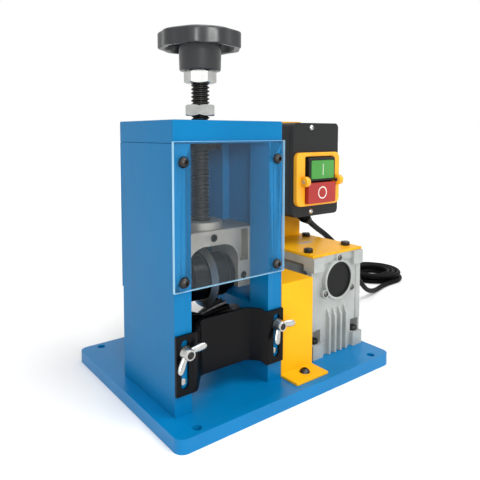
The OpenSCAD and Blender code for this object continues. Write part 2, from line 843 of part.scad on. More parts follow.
// The slanted teeth run out from the waist on both sides and form a V
function flank_ring(s) = roller_ring(s * roller_w / 2,
    waist_d / 2 + abs(s) * (roller_d - waist_d) / 2, 1, abs(s) * tooth_slant);
module feed_roller() {
    half_l = roller_w / 2 + roller_hub_l;
    steps = 4;
    bore_r = (feed_shaft_d / 2 + seat_gap) / cos(180 / tooth_count);
    rings = concat(
        [roller_ring(-half_l, roller_hub_d / 2, 0, tooth_slant),
         roller_ring(-roller_w / 2, roller_hub_d / 2, 0, tooth_slant)],
        [for (i = [-steps : steps]) flank_ring(i / steps)],
        [roller_ring(roller_w / 2, roller_hub_d / 2, 0, tooth_slant),
         roller_ring(half_l, roller_hub_d / 2, 0, tooth_slant),
         roller_ring(half_l, bore_r, 0, tooth_slant),
         roller_ring(-half_l, bore_r, 0, tooth_slant)]
    );
    count = len(rings[0]);
    total = len(rings) * count;
    color("#5c5f61") translate([axis_x, axis_y, output_z]) rotate([0, 90, 0]) polyhedron(
        [for (r = rings) each r],
        [for (i = [0 : len(rings) - 1], k = [0 : count - 1]) let (
            a = i * count + k,
            b = i * count + (k + 1) % count
        ) each [[a, (a + count) % total, b], [b, (a + count) % total, (b + count) % total]]]
    );
}
module feed_shaft() {
    left_end = axis_x - inner_w / 2 - bearing_w + free_gap;
    color(steel) translate([left_end, axis_y, output_z])
        rod_x(feed_shaft_d, shaft_joint_x - free_gap - left_end);
}
module shaft_coupling() {
    slit = 3;
    color(steel) translate([coupling_x, axis_y, output_z]) rotate([0, 90, 0]) difference() {
        cylinder(d = coupling_d, h = coupling_l);
        translate([0, 0, coupling_l / 2 - slit / 2]) tube(coupling_d + cut, coupling_d * 0.8, slit);
        translate([0, 0, -cut]) cylinder(d = feed_shaft_d + 2 * seat_gap, h = coupling_l / 2 + cut);
        cylinder(d = output_shaft_d + 2 * seat_gap, h = coupling_l + cut);
    }
}
module output_shaft() {
    right_end = gear_x + gear_case_w / 2 + output_cover_t - 1;
    color(steel) translate([shaft_joint_x + free_gap, axis_y, output_z])
        rod_x(output_shaft_d, right_end - shaft_joint_x - free_gap);
}
module worm_wheel() {
    tooth = 3;
    step = 360 / wheel_teeth;
    color("#b08d4a") translate([gear_x - wheel_w / 2, axis_y, output_z]) rotate([0, 90, 0])
        linear_extrude(wheel_w) difference() {
            polygon([for (i = [0 : wheel_teeth - 1], p = [[0, 1], [0.35, 1], [0.5, 0], [0.85, 0]])
                (wheel_r - tooth * p[1]) * [cos((i + p[0]) * step), sin((i + p[0]) * step)]]);
            circle(d = output_shaft_d + 2 * seat_gap);
        }
}
module worm_shaft() {
    worm_l = 36;
    pitch = 6;
    color(steel) translate([gear_x, 0, worm_z]) {
        translate([0, gear_f + cap_depth + free_gap, 0])
            rod_y(worm_shaft_d, motor_f - gear_f - cap_depth - free_gap);
        translate([0, axis_y - worm_l / 2, 0]) rotate([-90, 0, 0]) {
            cylinder(d = worm_d - pitch, h = worm_l);
            for (z = [0 : pitch : worm_l - pitch]) translate([0, 0, z]) rotate_extrude() polygon([
                [0, 0], [worm_d / 2 - pitch / 2, 0], [worm_d / 2, pitch / 3],
                [worm_d / 2, pitch / 2], [worm_d / 2 - pitch / 2, pitch * 5 / 6], [0, pitch * 5 / 6]
            ]);
        }
    }
}

// Wire guide and its wing screws
module wire_guide() {
    outer = tower_w / 2;
    inner = outer - guide_flange_w;
    half = inner - guide_bend_w;
    flange_f = guide_back - guide_t;
    panel_f = flange_f + guide_recess;
    color(black) difference() {
        translate([axis_x, 0, guide_z]) difference() {
            linear_extrude(guide_h + guide_crown) polygon([
                [-outer, flange_f], [-inner, flange_f], [-half, panel_f], [half, panel_f],
                [inner, flange_f], [outer, flange_f], [outer, guide_back],
                [inner - guide_t / 2, guide_back], [half - guide_t / 2, panel_f + guide_t],
                [-half + guide_t / 2, panel_f + guide_t], [-inner + guide_t / 2, guide_back],
                [-outer, guide_back]
            ]);
            for (x = [-1, 1]) translate([x * outer, flange_f, guide_h + guide_crown])
                cube([2 * guide_flange_w, 4 * guide_t, 2 * guide_crown], center = true);
            translate([-inner, flange_f - cut, -cut])
                cube([2 * inner, guide_recess + 2 * guide_t, guide_rise + cut]);
        }
        for (x = [-1, 1]) translate([axis_x + x * edge_dx, flange_f - cut, guide_z + slot_lift + slot_l / 2])
            upright_slot();
    }
}
module upright_slot() {
    run = slot_l - slot_w;
    block([-slot_w / 2, 0, -run / 2], [slot_w / 2, guide_t + 2 * cut, run / 2]);
    for (z = [-1, 1]) translate([0, 0, z * run / 2]) rod_y(slot_w, guide_t + 2 * cut);
}
// A wing screw at the origin pointing to +Y: the hub lies in front and carries two wings
module wing_screw(turn, spread) {
    hub_b = -guide_t - 2 * free_gap;
    translate([0, hub_b, 0]) rod_y(wing_screw_d, wing_screw_reach - hub_b);
    translate([0, hub_b - wing_hub_l, 0]) rod_y(wing_hub_d, wing_hub_l);
    for (a = [turn, turn + spread]) translate([0, hub_b - wing_t / 2 - free_gap, 0]) rotate([0, a, 0])
        hull() {
            translate([wing_hub_d / 4, 0, 0]) cube([1, wing_t, wing_root_h], center = true);
            translate([wing_l - wing_tip_d / 2, -wing_sweep, 0])
                rotate([90, 0, 0]) cylinder(d = wing_tip_d, h = wing_t, center = true, $fn = 32);
        }
}
module left_wing_screw() {
    color(zinc) translate([axis_x - edge_dx, tower_f, wing_z]) wing_screw(-25, 150);
}
module right_wing_screw() {
    color(zinc) translate([axis_x + edge_dx, tower_f, wing_z]) wing_screw(0, 110);
}

// Gearbox: a casting whose outline follows the worm wheel and the worm above it
module case_outline() {
    translate([axis_y, output_z]) circle(r = case_r);
    translate([gear_f, gear_top - foot_t]) square([gear_d, foot_t]);
    translate([gear_f + case_step, base_t]) square([gear_d - 2 * case_step, gear_h]);
}
module gearbox_housing() {
    case_l = gear_x - gear_case_w / 2;
    color(cast_grey) difference() {
        union() {
            translate([case_l, 0, 0]) rotate([90, 0, 90]) linear_extrude(gear_case_w) case_outline();
            block([gear_l, gear_f, gear_top - foot_t], [gear_l + gear_w, gear_b, gear_top]);
            block([gear_l, gear_f + case_step, base_t], [gear_l + gear_w, gear_b, base_t + foot_t]);
            for (x = [gear_l, gear_l + gear_w - column_w],
                 y = [gear_f + column_step, gear_b - column_step - column_w])
                block([x, y, base_t], [x + column_w, y + column_w, gear_top]);
            for (x = [gear_l, gear_l + gear_w - foot_pad], y = [gear_f, gear_b - foot_pad],
                 z = [base_t, gear_top - foot_pad])
                block([x, y, z], [x + foot_pad, y + foot_pad, z + foot_pad]);
            translate([gear_x, gear_f, worm_z]) {
                rod_y(cap_d + 2 * cap_rim, case_step + cut);
                for (a = ear_angles) rotate([0, -a, 0]) {
                    translate([ear_pitch_d / 2, 0, 0]) rod_y(ear_d, case_step + cut);
                    block([0, 0, -ear_d / 2], [ear_pitch_d / 2, case_step + cut, ear_d / 2]);
                }
            }
            for (i = [0 : fin_count - 1])
                translate([gear_x + (i - (fin_count - 1) / 2) * fin_pitch - fin_t / 2, gear_f + case_step, base_t])
                    rotate([90, 0, 90]) linear_extrude(fin_t)
                        polygon([[cut, 0], [-fin_h, 0], [-fin_h, fin_l - 2 * fin_h], [cut, fin_l]]);
            translate([gear_x, gear_b - case_step - cut, worm_z]) rod_y(neck_d, neck_l + case_step + cut);
        }
        translate([case_l - cut, axis_y, output_z]) rod_x(2 * wheel_r + 3, gear_case_w + 2 * cut);
        translate([gear_x, gear_f - cut, worm_z])
            rod_y(worm_bearing_d + 2 * seat_gap, gear_d + neck_l + 2 * cut);
        translate([gear_x, gear_f - cut, worm_z]) rod_y(cap_d + 2 * seat_gap, cap_depth + cut);
        for (a = ear_angles) translate([gear_x, gear_f - cut, worm_z]) rotate([0, -a, 0])
            translate([ear_pitch_d / 2, 0, 0]) rod_y(ear_screw_d + 2 * seat_gap, ear_screw_l + 2 * cut);
        at_gearbox_feet() translate([0, 0, -cut]) cylinder(d = m6_d + 2 * free_gap, h = foot_pad + 2 * cut);
        at_gearbox_feet() translate([0, 0, foot_pad + notch_h / 2])
            cube([foot_pad, foot_pad + 2 * case_step, notch_h], center = true);
        at_shelf_bolts() translate([0, 0, -foot_t - cut])
            cylinder(d = m6_d + 2 * seat_gap, h = foot_t + 2 * cut);
    }
}
module gearbox_end_cap() {
    color(black) translate([gear_x, gear_f, worm_z]) difference() {
        rod_y(cap_d, cap_depth);
        translate([0, -cut, 0]) rod_y(cap_d - 2 * cap_rim, cut + 1.5);
    }
}
module end_cap_screws() {
    color(steel) translate([gear_x, gear_f, worm_z]) for (a = ear_angles) rotate([0, -a, 0])
        translate([ear_pitch_d / 2, 0, 0]) rotate([90, 0, 0])
            button_screw(ear_screw_d, ear_screw_d * 1.8, ear_screw_d * 0.6, ear_screw_l);
}
module output_covers() {
    bolt_ring = output_cover_d - 10;
    color(cast_grey) for (x = [-1, 1]) translate([gear_x, axis_y, output_z]) rotate([0, 90 * x, 0])
        translate([0, 0, gear_case_w / 2]) difference() {
            union() {
                cylinder(d = output_cover_d, h = output_cover_t / 2);
                cylinder(d = output_cover_d * 0.7, h = output_cover_t);
            }
            translate([0, 0, -cut]) cylinder(d = output_shaft_d + 2 * run_gap, h = output_cover_t + 2 * cut);
            for (i = [0 : 3]) rotate([0, 0, 45 + 90 * i]) translate([bolt_ring / 2, 0, output_cover_t / 2 - 2])
                cylinder(d = 6, h = output_cover_t);
        }
}
module worm_bearings() {
    color(steel) for (y = [gear_f + cap_depth, gear_b - worm_bearing_w])
        translate([gear_x, y, worm_z]) rotate([-90, 0, 0])
            tube(worm_bearing_d, worm_shaft_d + 2 * run_gap, worm_bearing_w);
}
module gearbox_bolts() {
    color(dark_grey) at_gearbox_feet() translate([0, 0, foot_pad])
        hex_bolt(m6_d, m6_af, m6_head_h, foot_pad + bolt_reach - 1);
}

// Motor behind the gearbox
module motor_flange() {
    color(cast_grey) translate([gear_x, motor_f, worm_z]) difference() {
        rod_y(motor_flange_d, motor_flange_t);
        translate([0, -cut, 0]) rod_y(worm_shaft_d + 2 * run_gap, motor_flange_t + 2 * cut);
        for (i = [0 : 3]) rotate([0, 45 + 90 * i, 0]) translate([motor_flange_d / 2 - 9, -cut, 0])
            rod_y(m6_d + 1, motor_flange_t + 2 * cut);
    }
}
module motor_frame() {
    core_r = motor_d / 2 - motor_fin_h;
    wall_t = 6;
    color(cast_grey) translate([gear_x, frame_f, worm_z]) rotate([-90, 0, 0]) difference() {
        linear_extrude(motor_l) {
            circle(r = core_r);
            for (i = [0 : motor_fins - 1]) rotate(360 * i / motor_fins)
                translate([core_r - 1, -1]) square([motor_fin_h + 1, 2]);
        }
        translate([0, 0, -cut]) cylinder(d = rotor_d + 1, h = motor_l - wall_t + cut);
        cylinder(d = worm_shaft_d + 2 * run_gap, h = motor_l + cut);
    }
}
module motor_rotor() {
    rotor_l = motor_l - 22;
    color(steel) translate([gear_x, 0, worm_z]) {
        translate([0, motor_f, 0]) rod_y(worm_shaft_d, frame_b + fan_reach - motor_f);
        translate([0, frame_f + 8, 0]) rod_y(rotor_d, rotor_l);
    }
}
module cooling_fan() {
    hub_d = worm_shaft_d + 12;
    fan_w = fan_reach - fan_gap;
    fan_r = motor_d / 2 - 14;
    color(dark_grey) translate([gear_x, frame_b + fan_gap, worm_z]) rotate([-90, 0, 0]) difference() {
        union() {
            cylinder(d = hub_d, h = fan_w);
            cylinder(r = fan_r, h = 2);
            for (i = [0 : fan_blades - 1]) rotate(360 * i / fan_blades)
                translate([hub_d / 2 - 1, -1, 0]) cube([fan_r - hub_d / 2, 2, fan_w]);
        }
        translate([0, 0, -cut]) cylinder(d = worm_shaft_d + 2 * seat_gap, h = fan_w + 2 * cut);
    }
}
module fan_cowl() {
    r = motor_d / 2;
    round_r = 8;
    color(dark_grey) translate([gear_x, frame_b, worm_z]) rotate([-90, 0, 0]) difference() {
        union() {
            cylinder(r = r, h = cowl_l - round_r);
            translate([0, 0, cowl_l - round_r]) cylinder(r1 = r, r2 = r - round_r, h = round_r);
        }
        translate([0, 0, -cut]) cylinder(r = r - cowl_wall, h = cowl_l - round_r + cut);
        translate([0, 0, cowl_l - round_r - 0.01])
            cylinder(r1 = r - cowl_wall, r2 = r - round_r, h = round_r - cowl_wall);
        for (i = [0 : cowl_slots - 1]) rotate(360 * i / cowl_slots)
            translate([r * 0.3, -2, cowl_l - 2 * cowl_wall]) cube([r * 0.42, 4, 3 * cowl_wall]);
    }
}
module terminal_box() {
    w = 70;
    h = 30;
    color(cast_grey) difference() {
        translate([gear_x, frame_f + 8, worm_z + motor_d / 2 - motor_fin_h])
            upright_plate(w, h + motor_fin_h, 5, motor_l - 16);
        translate([gear_x, frame_f, worm_z]) rod_y(motor_d + 2 * seat_gap, motor_l);
    }
}

// Switch on its bracket
module switch_bracket() {
    color(yellow) difference() {
        union() {
            block([gear_l + 1, shelf_f, shelf_z], [gear_l + gear_w + 1, shelf_f + shelf_d, shelf_top]);
            block([gear_l + 1, upright_f, shelf_z],
                  [gear_l + gear_w - 5, upright_f + bracket_t, shelf_top + upright_h]);
        }
        at_shelf_bolts() translate([0, 0, -cut]) cylinder(d = m6_d + 1, h = bracket_t + 2 * cut);
        for (x = [-1, 1]) translate([shelf_slot_x + x * shelf_slot_l / 2, shelf_slot_y, shelf_z - cut])
            cylinder(d = shelf_slot_w, h = bracket_t + 2 * cut);
        translate([shelf_slot_x - shelf_slot_l / 2, shelf_slot_y - shelf_slot_w / 2, shelf_z - cut])
            cube([shelf_slot_l, shelf_slot_w, bracket_t + 2 * cut]);
    }
}
module bracket_bolts() {
    color(black) at_shelf_bolts() translate([0, 0, bracket_t])
        hex_bolt(m6_d, m6_af, m6_head_h, bracket_t + foot_t - 1);
}
// Openings of the two buttons, through t in Y from the origin's y
module button_windows(t) {
    for (w = [[stop_z, stop_h], [start_z, start_h]]) translate([bezel_button_x, 0, w[0] - button_gap])
        upright_plate(button_w + 2 * button_gap, w[1] + 2 * button_gap, window_r, t);
}
module switch_box() {
    color(black) difference() {
        translate([box_x, box_f, box_z]) upright_plate(box_w, box_h, box_r, box_d);
        translate([box_x, box_f - cut, box_z + box_wall])
            upright_plate(box_w - 2 * box_wall, box_h - 2 * box_wall, box_r - box_wall, box_d - box_wall + cut);
    }
}
module switch_cover() {
    color(black) difference() {
        translate([box_x, lid_f, box_z]) upright_plate(box_w, box_h, box_r, lid_t);
        translate([0, lid_f - cut, 0]) button_windows(lid_t + 2 * cut);
        at_cover_screws() translate([0, -cut, 0]) rod_y(m4_d + 2 * seat_gap, lid_t + 2 * cut);
    }
}
module at_cover_screws() {
    for (z = [box_z + cover_screw_inset, box_z + box_h - cover_screw_inset])
        translate([box_x - cover_screw_left, lid_f, z]) children();
}
module switch_screws() {
    color(steel) at_cover_screws() rotate([90, 0, 0])
        button_screw(m4_d, m4_d * 1.8, m4_d * 0.6, lid_t - 0.5);
}
module switch_bezel() {
    color("#f7ad26") difference() {
        union() {
            translate([bezel_x, bezel_f, bezel_z]) upright_plate(bezel_w, bezel_h, 4, bezel_t);
            at_bezel_pins() {
                translate([-pin_ear_w / 2, 0, 0]) rod_x(pin_ear_d, pin_ear_w);
                translate([-pin_ear_w / 2, 0, -pin_ear_d / 2]) cube([pin_ear_w, pin_ear_d / 2 + 1, pin_ear_d]);
            }
        }
        translate([0, bezel_f - cut, 0]) button_windows(bezel_t + 2 * cut);
        at_bezel_pins() translate([-pin_ear_w, 0, 0]) rod_x(pin_d + 2 * seat_gap, 2 * pin_ear_w);
    }
}
module at_bezel_pins() {
    for (x = [-1, 1])
        translate([bezel_button_x + x * pin_dx, bezel_f - pin_ear_d / 2, pin_z]) children();
}
module bezel_pins() {
    color(zinc) at_bezel_pins() translate([-pin_ear_w / 2 - 1, 0, 0]) rod_x(pin_d, pin_ear_w + 2);
}
// A button cap with the flange that keeps it behind the cover
module button_cap(h, front, back) {
    over = 1.5;
    translate([bezel_button_x, front, 0]) upright_plate(button_w, h, window_r - 0.5, back - front);
    translate([bezel_button_x, box_f + button_gap, -over])
        upright_plate(button_w + 2 * over, h + 2 * over, window_r, 2.5);
}
module start_button() {
    color("#3f9f45") translate([0, 0, start_z]) button_cap(start_h, bezel_f + 1, button_back);
}
module stop_button() {
    color("#c9403a") translate([0, 0, stop_z]) button_cap(stop_h, bezel_f - stop_proud, button_back);
}
module contact_block() {
    front = button_back + button_travel + 1;
    color("#5a5550") translate([bezel_button_x, front, stop_z])
        upright_plate(button_w - 6, start_z + start_h - stop_z, 2, upright_f - box_wall - front);
}

// Power cord: gland, free stretch, coil and plug
module cord_gland() {
    collar_l = 5;
    color(black) difference() {
        union() {
            translate([gland.x, gland.y, box_z - collar_l]) cylinder(d = cord_d * 2.2, h = collar_l);
            towards(gland, cord_route[0])
                cylinder(d1 = cord_d * 1.8, d2 = cord_d * 1.3, h = norm(cord_route[0] - gland));
        }
        translate([gland.x - 40, gland.y - 40, box_z]) cube(80);
    }
}
function unit(v) = v / norm(v);
// Direction of a path at point i, from its neighbours
function heading(path, i) =
    unit(path[min(i + 1, len(path) - 1)] - path[max(i - 1, 0)]);
// One ring of a tube around point i of a path, with its first corner to the side
function ring(path, i, r, sides) = let (
        t = heading(path, i),
        side = unit(cross([0, 0, 1], t)),
        rise = cross(t, side)
    ) [for (k = [0 : sides - 1]) let (a = 360 * (k + 0.5) / sides) path[i] + r * (cos(a) * side + sin(a) * rise)];
module path_tube(path, r, sides) {
    last = (len(path) - 1) * sides;
    points = [for (i = [0 : len(path) - 1]) each ring(path, i, r, sides)];
    walls = [for (i = [0 : len(path) - 2], k = [0 : sides - 1])
        let (a = i * sides + k, b = i * sides + (k + 1) % sides)
        each [[a, a + sides, b], [b, a + sides, b + sides]]];
    caps = [for (k = [1 : sides - 2]) each [[0, k, k + 1], [last, last + k + 1, last + k]]];
    polyhedron(points, concat(walls, caps));
}
module power_cord() {
    color(black) path_tube(cord_route, cord_d / 2, 12);
    color(black) path_tube(plug_lead, cord_d / 2, 12);
}
// The coil winds in on the floor, climbs while it turns round, and winds out again on top
function coil_point(turn) = let (
        half = coil_turns / 2,
        climb = min(max((turn - half) * 2 + 0.5, 0), 1)
    ) [coil_x, coil_y, 0] + [0, 0, cord_d / 2 + coil_lift * climb]
      + (coil_r - coil_pitch * (half - abs(turn - half))) * [cos(360 * turn - 90), sin(360 * turn - 90), 0];
coil_path = concat(
    [coil_point(0) - [cord_d, 0, 0]],
    [for (i = [0 : coil_turns * coil_rings]) coil_point(i / coil_rings)],
    [coil_point(coil_turns) - [cord_d, 0, 0]]
);
// Least distance between rings that are more than half a loop apart, less the cord's own width
coil_self_gap = min([for (i = [0 : len(coil_path) - 1], j = [i + coil_rings / 2 : len(coil_path) - 1])
    norm(coil_path[i] - coil_path[j])]) - cord_d;
echo(coil_self_gap = coil_self_gap);
module cord_coil() { color(black) path_tube(coil_path, cord_d / 2, 6); }
module plug_body() {
    neck_l = 14;
    start = plug_lead[len(plug_lead) - 1];
    color(black) translate(start) {
        rotate([0, -90, 0]) cylinder(d1 = cord_d * 1.3, d2 = cord_d * 2, h = neck_l + cut);
        hull() for (y = [-1, 1]) translate([-neck_l, y * plug_spread, 0]) rotate([0, -90, 0])
            cylinder(d = 2 * plug_r, h = plug_l - neck_l, $fn = 32);
    }
}
module plug_pins() {
    start = plug_lead[len(plug_lead) - 1];
    color(zinc) translate(start) for (y = [-1, 1]) translate([-plug_l, y * plug_pin_pitch / 2, 0])
        rotate([0, -90, 0]) cylinder(d = 4.8, h = 19);
}

base_plate();
left_side_plate();
right_side_plate();
top_plate();
back_panel();
tower_screws();
screw_bush();
front_guard();
guard_screws();
coupling_cover();
cover_bolts();
roller_bearings();
gearbox_housing();
gearbox_end_cap();
end_cap_screws();
output_covers();
worm_bearings();
gearbox_bolts();
switch_bracket();
bracket_bolts();
switch_box();
switch_cover();
switch_bezel();
bezel_pins();
switch_screws();
contact_block();
motor_flange();
motor_frame();
fan_cowl();
terminal_box();
cord_gland();
power_cord();
cord_coil();
plug_body();
plug_pins();
carriage();
blade_bushes();
screw_retainer();
blade_shaft();
blade_disc();
blade_spacers();
adjusting_screw();
knob();
lock_nut();
stop_nut();
feed_shaft();
feed_roller();
shaft_coupling();
output_shaft();
worm_wheel();
worm_shaft();
motor_rotor();
cooling_fan();
wire_guide();
left_wing_screw();
right_wing_screw();
start_button();
stop_button();
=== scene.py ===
"""Looks of the bench wire stripper: finishes, rounded edges, threads and the power cord.

Lengths are metres in the part's own frame: X to the right along the rollers, Y to the back
with the wire, Z up, origin under the middle of the base plate.
"""

import json
import math

import bmesh
import bpy
from mathutils import Matrix, Vector


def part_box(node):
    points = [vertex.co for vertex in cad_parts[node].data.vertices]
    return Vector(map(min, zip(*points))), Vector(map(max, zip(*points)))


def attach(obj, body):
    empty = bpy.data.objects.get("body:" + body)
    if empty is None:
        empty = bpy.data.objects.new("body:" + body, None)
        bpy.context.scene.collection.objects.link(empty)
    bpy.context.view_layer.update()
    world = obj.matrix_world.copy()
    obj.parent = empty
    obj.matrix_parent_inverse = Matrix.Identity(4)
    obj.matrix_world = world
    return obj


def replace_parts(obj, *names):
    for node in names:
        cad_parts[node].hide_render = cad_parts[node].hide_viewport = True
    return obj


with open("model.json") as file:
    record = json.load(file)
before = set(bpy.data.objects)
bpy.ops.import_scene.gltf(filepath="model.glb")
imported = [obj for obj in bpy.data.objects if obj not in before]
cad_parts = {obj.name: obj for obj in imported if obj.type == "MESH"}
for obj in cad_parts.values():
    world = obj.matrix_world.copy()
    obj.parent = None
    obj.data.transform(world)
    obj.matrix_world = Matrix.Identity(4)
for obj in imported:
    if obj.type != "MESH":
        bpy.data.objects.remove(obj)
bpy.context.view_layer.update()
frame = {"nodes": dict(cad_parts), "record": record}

NODES = frame["nodes"]
RECORD = frame["record"]
BODY_OF = {n: b for b, members in RECORD["behaviour"]["bodies"].items() for n in members}
SLOT_OF = {row["node"]: row["material_slot"] for row in RECORD["subparts"]}
MM = 0.001

# Camera of the photograph
CAMERA_AT = (-0.36518, -0.48126, 0.28112)
CAMERA_AZIMUTH = -37.22
CAMERA_PITCH = 4.11
CAMERA_LENS = 37.76
CAMERA_SENSOR = 36
CAMERA_SHIFT = (0.0132, -0.1463)

# Strength of the world as a light, the point that the lamps look at, and half the floor's side
WORLD_LIGHT = 0.44
LAMP_AIM = Vector((0, 0, 0.15))
FLOOR_REACH = 12

# Power cord, as in the part's source
CORD_D = 8 * MM
CORD_ROUTE = [
    (116, -12, 166), (134, -3, 157), (152, 5, 148), (170, 11, 139), (188, 15, 128),
    (206, 18, 115), (222, 20, 101), (237, 22, 87), (252, 25, 72), (267, 29, 57),
    (283, 34, 43), (300, 40, 30), (318, 47, 19), (337, 54, 11), (357, 61, 6),
    (377, 67, 4), (396, 72, 4), (414, 75, 4), (432, 76, 4),
]
COIL_R = 52 * MM
COIL_PITCH = 9 * MM
COIL_TURNS = 5.5
COIL_START = Vector((440, 76, 4)) * MM
COIL_STEPS = 36
PLUG_LEAD = 48 * MM

# Trapezoidal thread of the adjusting screw
THREAD_PITCH = 4 * MM
THREAD_DEPTH = 1.9 * MM

# Start button's cap: left, bottom, right, top and corner radius, then its front
START_CAP = (91 * MM, 224 * MM, 132 * MM, 247.5 * MM, 1.5 * MM)
START_FACE = -41.8 * MM

# Width of the pads at the gearbox's side edges
GEAR_PAD = 17 * MM

# Edges that turn by more than this are rounded, in degrees
EDGE_ANGLE = 32


def srgb(red, green, blue):
    """Linear colour of an eight-bit screen colour."""
    def linear(value):
        c = value / 255
        return c / 12.92 if c <= 0.04045 else ((c + 0.055) / 1.055) ** 2.4
    return (linear(red), linear(green), linear(blue), 1.0)


# Materials


class Finish:
    """A node material built around one principled shader."""

    def __init__(self, name):
        self.material = bpy.data.materials.new(name)
        self.material.use_nodes = True
        self.tree = self.material.node_tree
        self.shader = self.tree.nodes["Principled BSDF"]
        self.coords = self.tree.nodes.new("ShaderNodeTexCoord")

    def set(self, **values):
        for key, value in values.items():
            self.shader.inputs[key.replace("_", " ")].default_value = value
        return self

    def noise(self, scale, detail=3.0):
        """Noise over object space."""
        texture = self.tree.nodes.new("ShaderNodeTexNoise")
        texture.inputs["Scale"].default_value = scale
        texture.inputs["Detail"].default_value = detail
        self.tree.links.new(self.coords.outputs["Object"], texture.inputs["Vector"])
        return texture.outputs["Fac"]

    def ramp(self, factor, low, high):
        """Colours from low to high over the middle of a factor's range."""
        start, end = 0.35, 0.65
        node = self.tree.nodes.new("ShaderNodeValToRGB")
        node.color_ramp.elements[0].position = start
        node.color_ramp.elements[0].color = low
        node.color_ramp.elements[1].position = end
        node.color_ramp.elements[1].color = high
        self.tree.links.new(factor, node.inputs["Fac"])
        return node.outputs["Color"]

    def span(self, factor, low, high):
        """A number from low to high over a factor."""
        node = self.tree.nodes.new("ShaderNodeMapRange")
        node.inputs["To Min"].default_value = low
        node.inputs["To Max"].default_value = high
        self.tree.links.new(factor, node.inputs["Value"])
        return node.outputs["Result"]

    def bump(self, factor, strength, distance):
        """A surface raised by a factor."""
        node = self.tree.nodes.new("ShaderNodeBump")
        node.inputs["Strength"].default_value = strength
        node.inputs["Distance"].default_value = distance
        self.tree.links.new(factor, node.inputs["Height"])
        self.link(node.outputs["Normal"], "Normal")
        return self

    def link(self, output, socket):
        self.tree.links.new(output, self.shader.inputs[socket])
        return self


def shade(colour, factor):
    """A colour made darker or lighter."""
    return tuple(c * factor for c in colour[:3]) + (1.0,)


def paint(name, colour, roughness, gloss):
    """Stoved enamel with a faint orange peel and slight unevenness."""
    f = Finish(name)
    f.set(Coat_Weight=0.04, Coat_Roughness=0.15, Specular_IOR_Level=gloss)
    f.link(f.ramp(f.noise(14), shade(colour, 0.94), shade(colour, 1.04)), "Base Color")
    f.link(f.span(f.noise(60), roughness - 0.05, roughness + 0.08), "Roughness")
    return f.bump(f.noise(420, 1), 0.10, 0.0002).material


def plastic(name, colour, roughness=0.4, grain=0.12, coat=0.0, gloss=0.32):
    """Moulded plastic with a fine spark-eroded grain."""
    f = Finish(name)
    f.set(Coat_Weight=coat, Coat_Roughness=0.1, Specular_IOR_Level=gloss)
    f.link(f.ramp(f.noise(25), shade(colour, 0.93), shade(colour, 1.06)), "Base Color")
    f.link(f.span(f.noise(90), roughness - 0.05, roughness + 0.1), "Roughness")
    return f.bump(f.noise(1500, 2), grain, 0.0002).material


def casting(name, colour, roughness=0.42, metallic=0.15):
    """Sand-blasted aluminium casting, mottled and slightly grainy."""
    f = Finish(name)
    f.set(Metallic=metallic, Specular_IOR_Level=0.3)
    f.link(f.ramp(f.noise(38, 5), shade(colour, 0.86), shade(colour, 1.05)), "Base Color")
    f.link(f.span(f.noise(120), roughness - 0.08, roughness + 0.12), "Roughness")
    return f.bump(f.noise(900, 3), 0.22, 0.0003).material


def metal(name, colour, roughness=0.28, scratch=0.06):
    """Turned or ground metal with fine tool marks."""
    f = Finish(name)
    f.set(Metallic=1.0)
    marks = f.noise(260, 4)
    f.link(f.ramp(f.noise(30), shade(colour, 0.88), shade(colour, 1.08)), "Base Color")
    f.link(f.span(marks, roughness - 0.08, roughness + 0.12), "Roughness")
    return f.bump(marks, scratch, 0.0002).material


def plated(name, colour, roughness):
    """Bright zinc over a smooth casting or nut, clouded in soft patches."""
    f = Finish(name)
    f.set(Metallic=1.0)
    f.link(f.ramp(f.noise(90, 2), shade(colour, 0.9), shade(colour, 1.06)), "Base Color")
    f.link(f.span(f.noise(60), roughness - 0.06, roughness + 0.08), "Roughness")
    return f.bump(f.noise(200, 1), 0.03, 0.0003).material


def clear_sheet(name):
    """Clear acrylic: nearly all light passes, and the surface keeps its gloss."""
    f = Finish(name)
    f.set(Base_Color=srgb(214, 230, 240), Alpha=0.02, Specular_IOR_Level=0.1)
    f.link(f.span(f.noise(25), 0.03, 0.07), "Roughness")
    return f.material


MATERIALS = {
    "blue_paint": paint("blue_enamel", srgb(0, 110, 163), 0.36, 0.14),
    "yellow_paint": paint("yellow_enamel", srgb(240, 174, 20), 0.38, 0.12),
    "clear_acrylic": clear_sheet("clear_acrylic"),
    "cast_aluminium": casting("cast_aluminium", srgb(172, 176, 173)),
    "bright_steel": metal("bright_steel", srgb(190, 194, 197)),
    "dark_steel": metal("dark_oxide", srgb(62, 61, 60), 0.36),
    "zinc": plated("zinc_plate", srgb(186, 187, 184), 0.27),
    "bronze": metal("bronze", srgb(176, 141, 74)),
    "black_sheet": paint("black_powder_coat", srgb(7, 7, 9), 0.3, 0.1),
    "black_plastic": plastic("black_plastic", srgb(22, 23, 24)),
    "knob_plastic": plastic("knob_plastic", srgb(29, 31, 33), 0.32, 0.03, 0.0, 0.55),
    "bezel_plastic": plastic("bezel_plastic", srgb(248, 172, 30), 0.3, 0.05, 0.3),
    "green_plastic": plastic("green_plastic", srgb(66, 146, 58), 0.28, 0.04, 0.3),
    "red_plastic": plastic("red_plastic", srgb(166, 42, 37), 0.28, 0.04, 0.2),
    "cord_rubber": plastic("cord_sheath", srgb(5, 5, 6), 0.46, 0.03, 0.0, 0.06),
}
DIE_CAST = casting("die_casting", srgb(150, 148, 141), 0.4, 0.55)
BLACK_OXIDE = metal("black_oxide", srgb(30, 30, 31), 0.3)
DULL_STEEL = metal("dull_steel", srgb(96, 95, 92), 0.4)
DEEP_BLACK = plastic("cap_rubber", srgb(14, 14, 15), 0.45, 0.06, 0.0, 0.2)
GROUND_STEEL = metal("ground_steel", srgb(205, 205, 202), 0.34, scratch=0.02)
BASE_ENAMEL = paint("base_enamel", srgb(0, 118, 176), 0.3, 0.2)

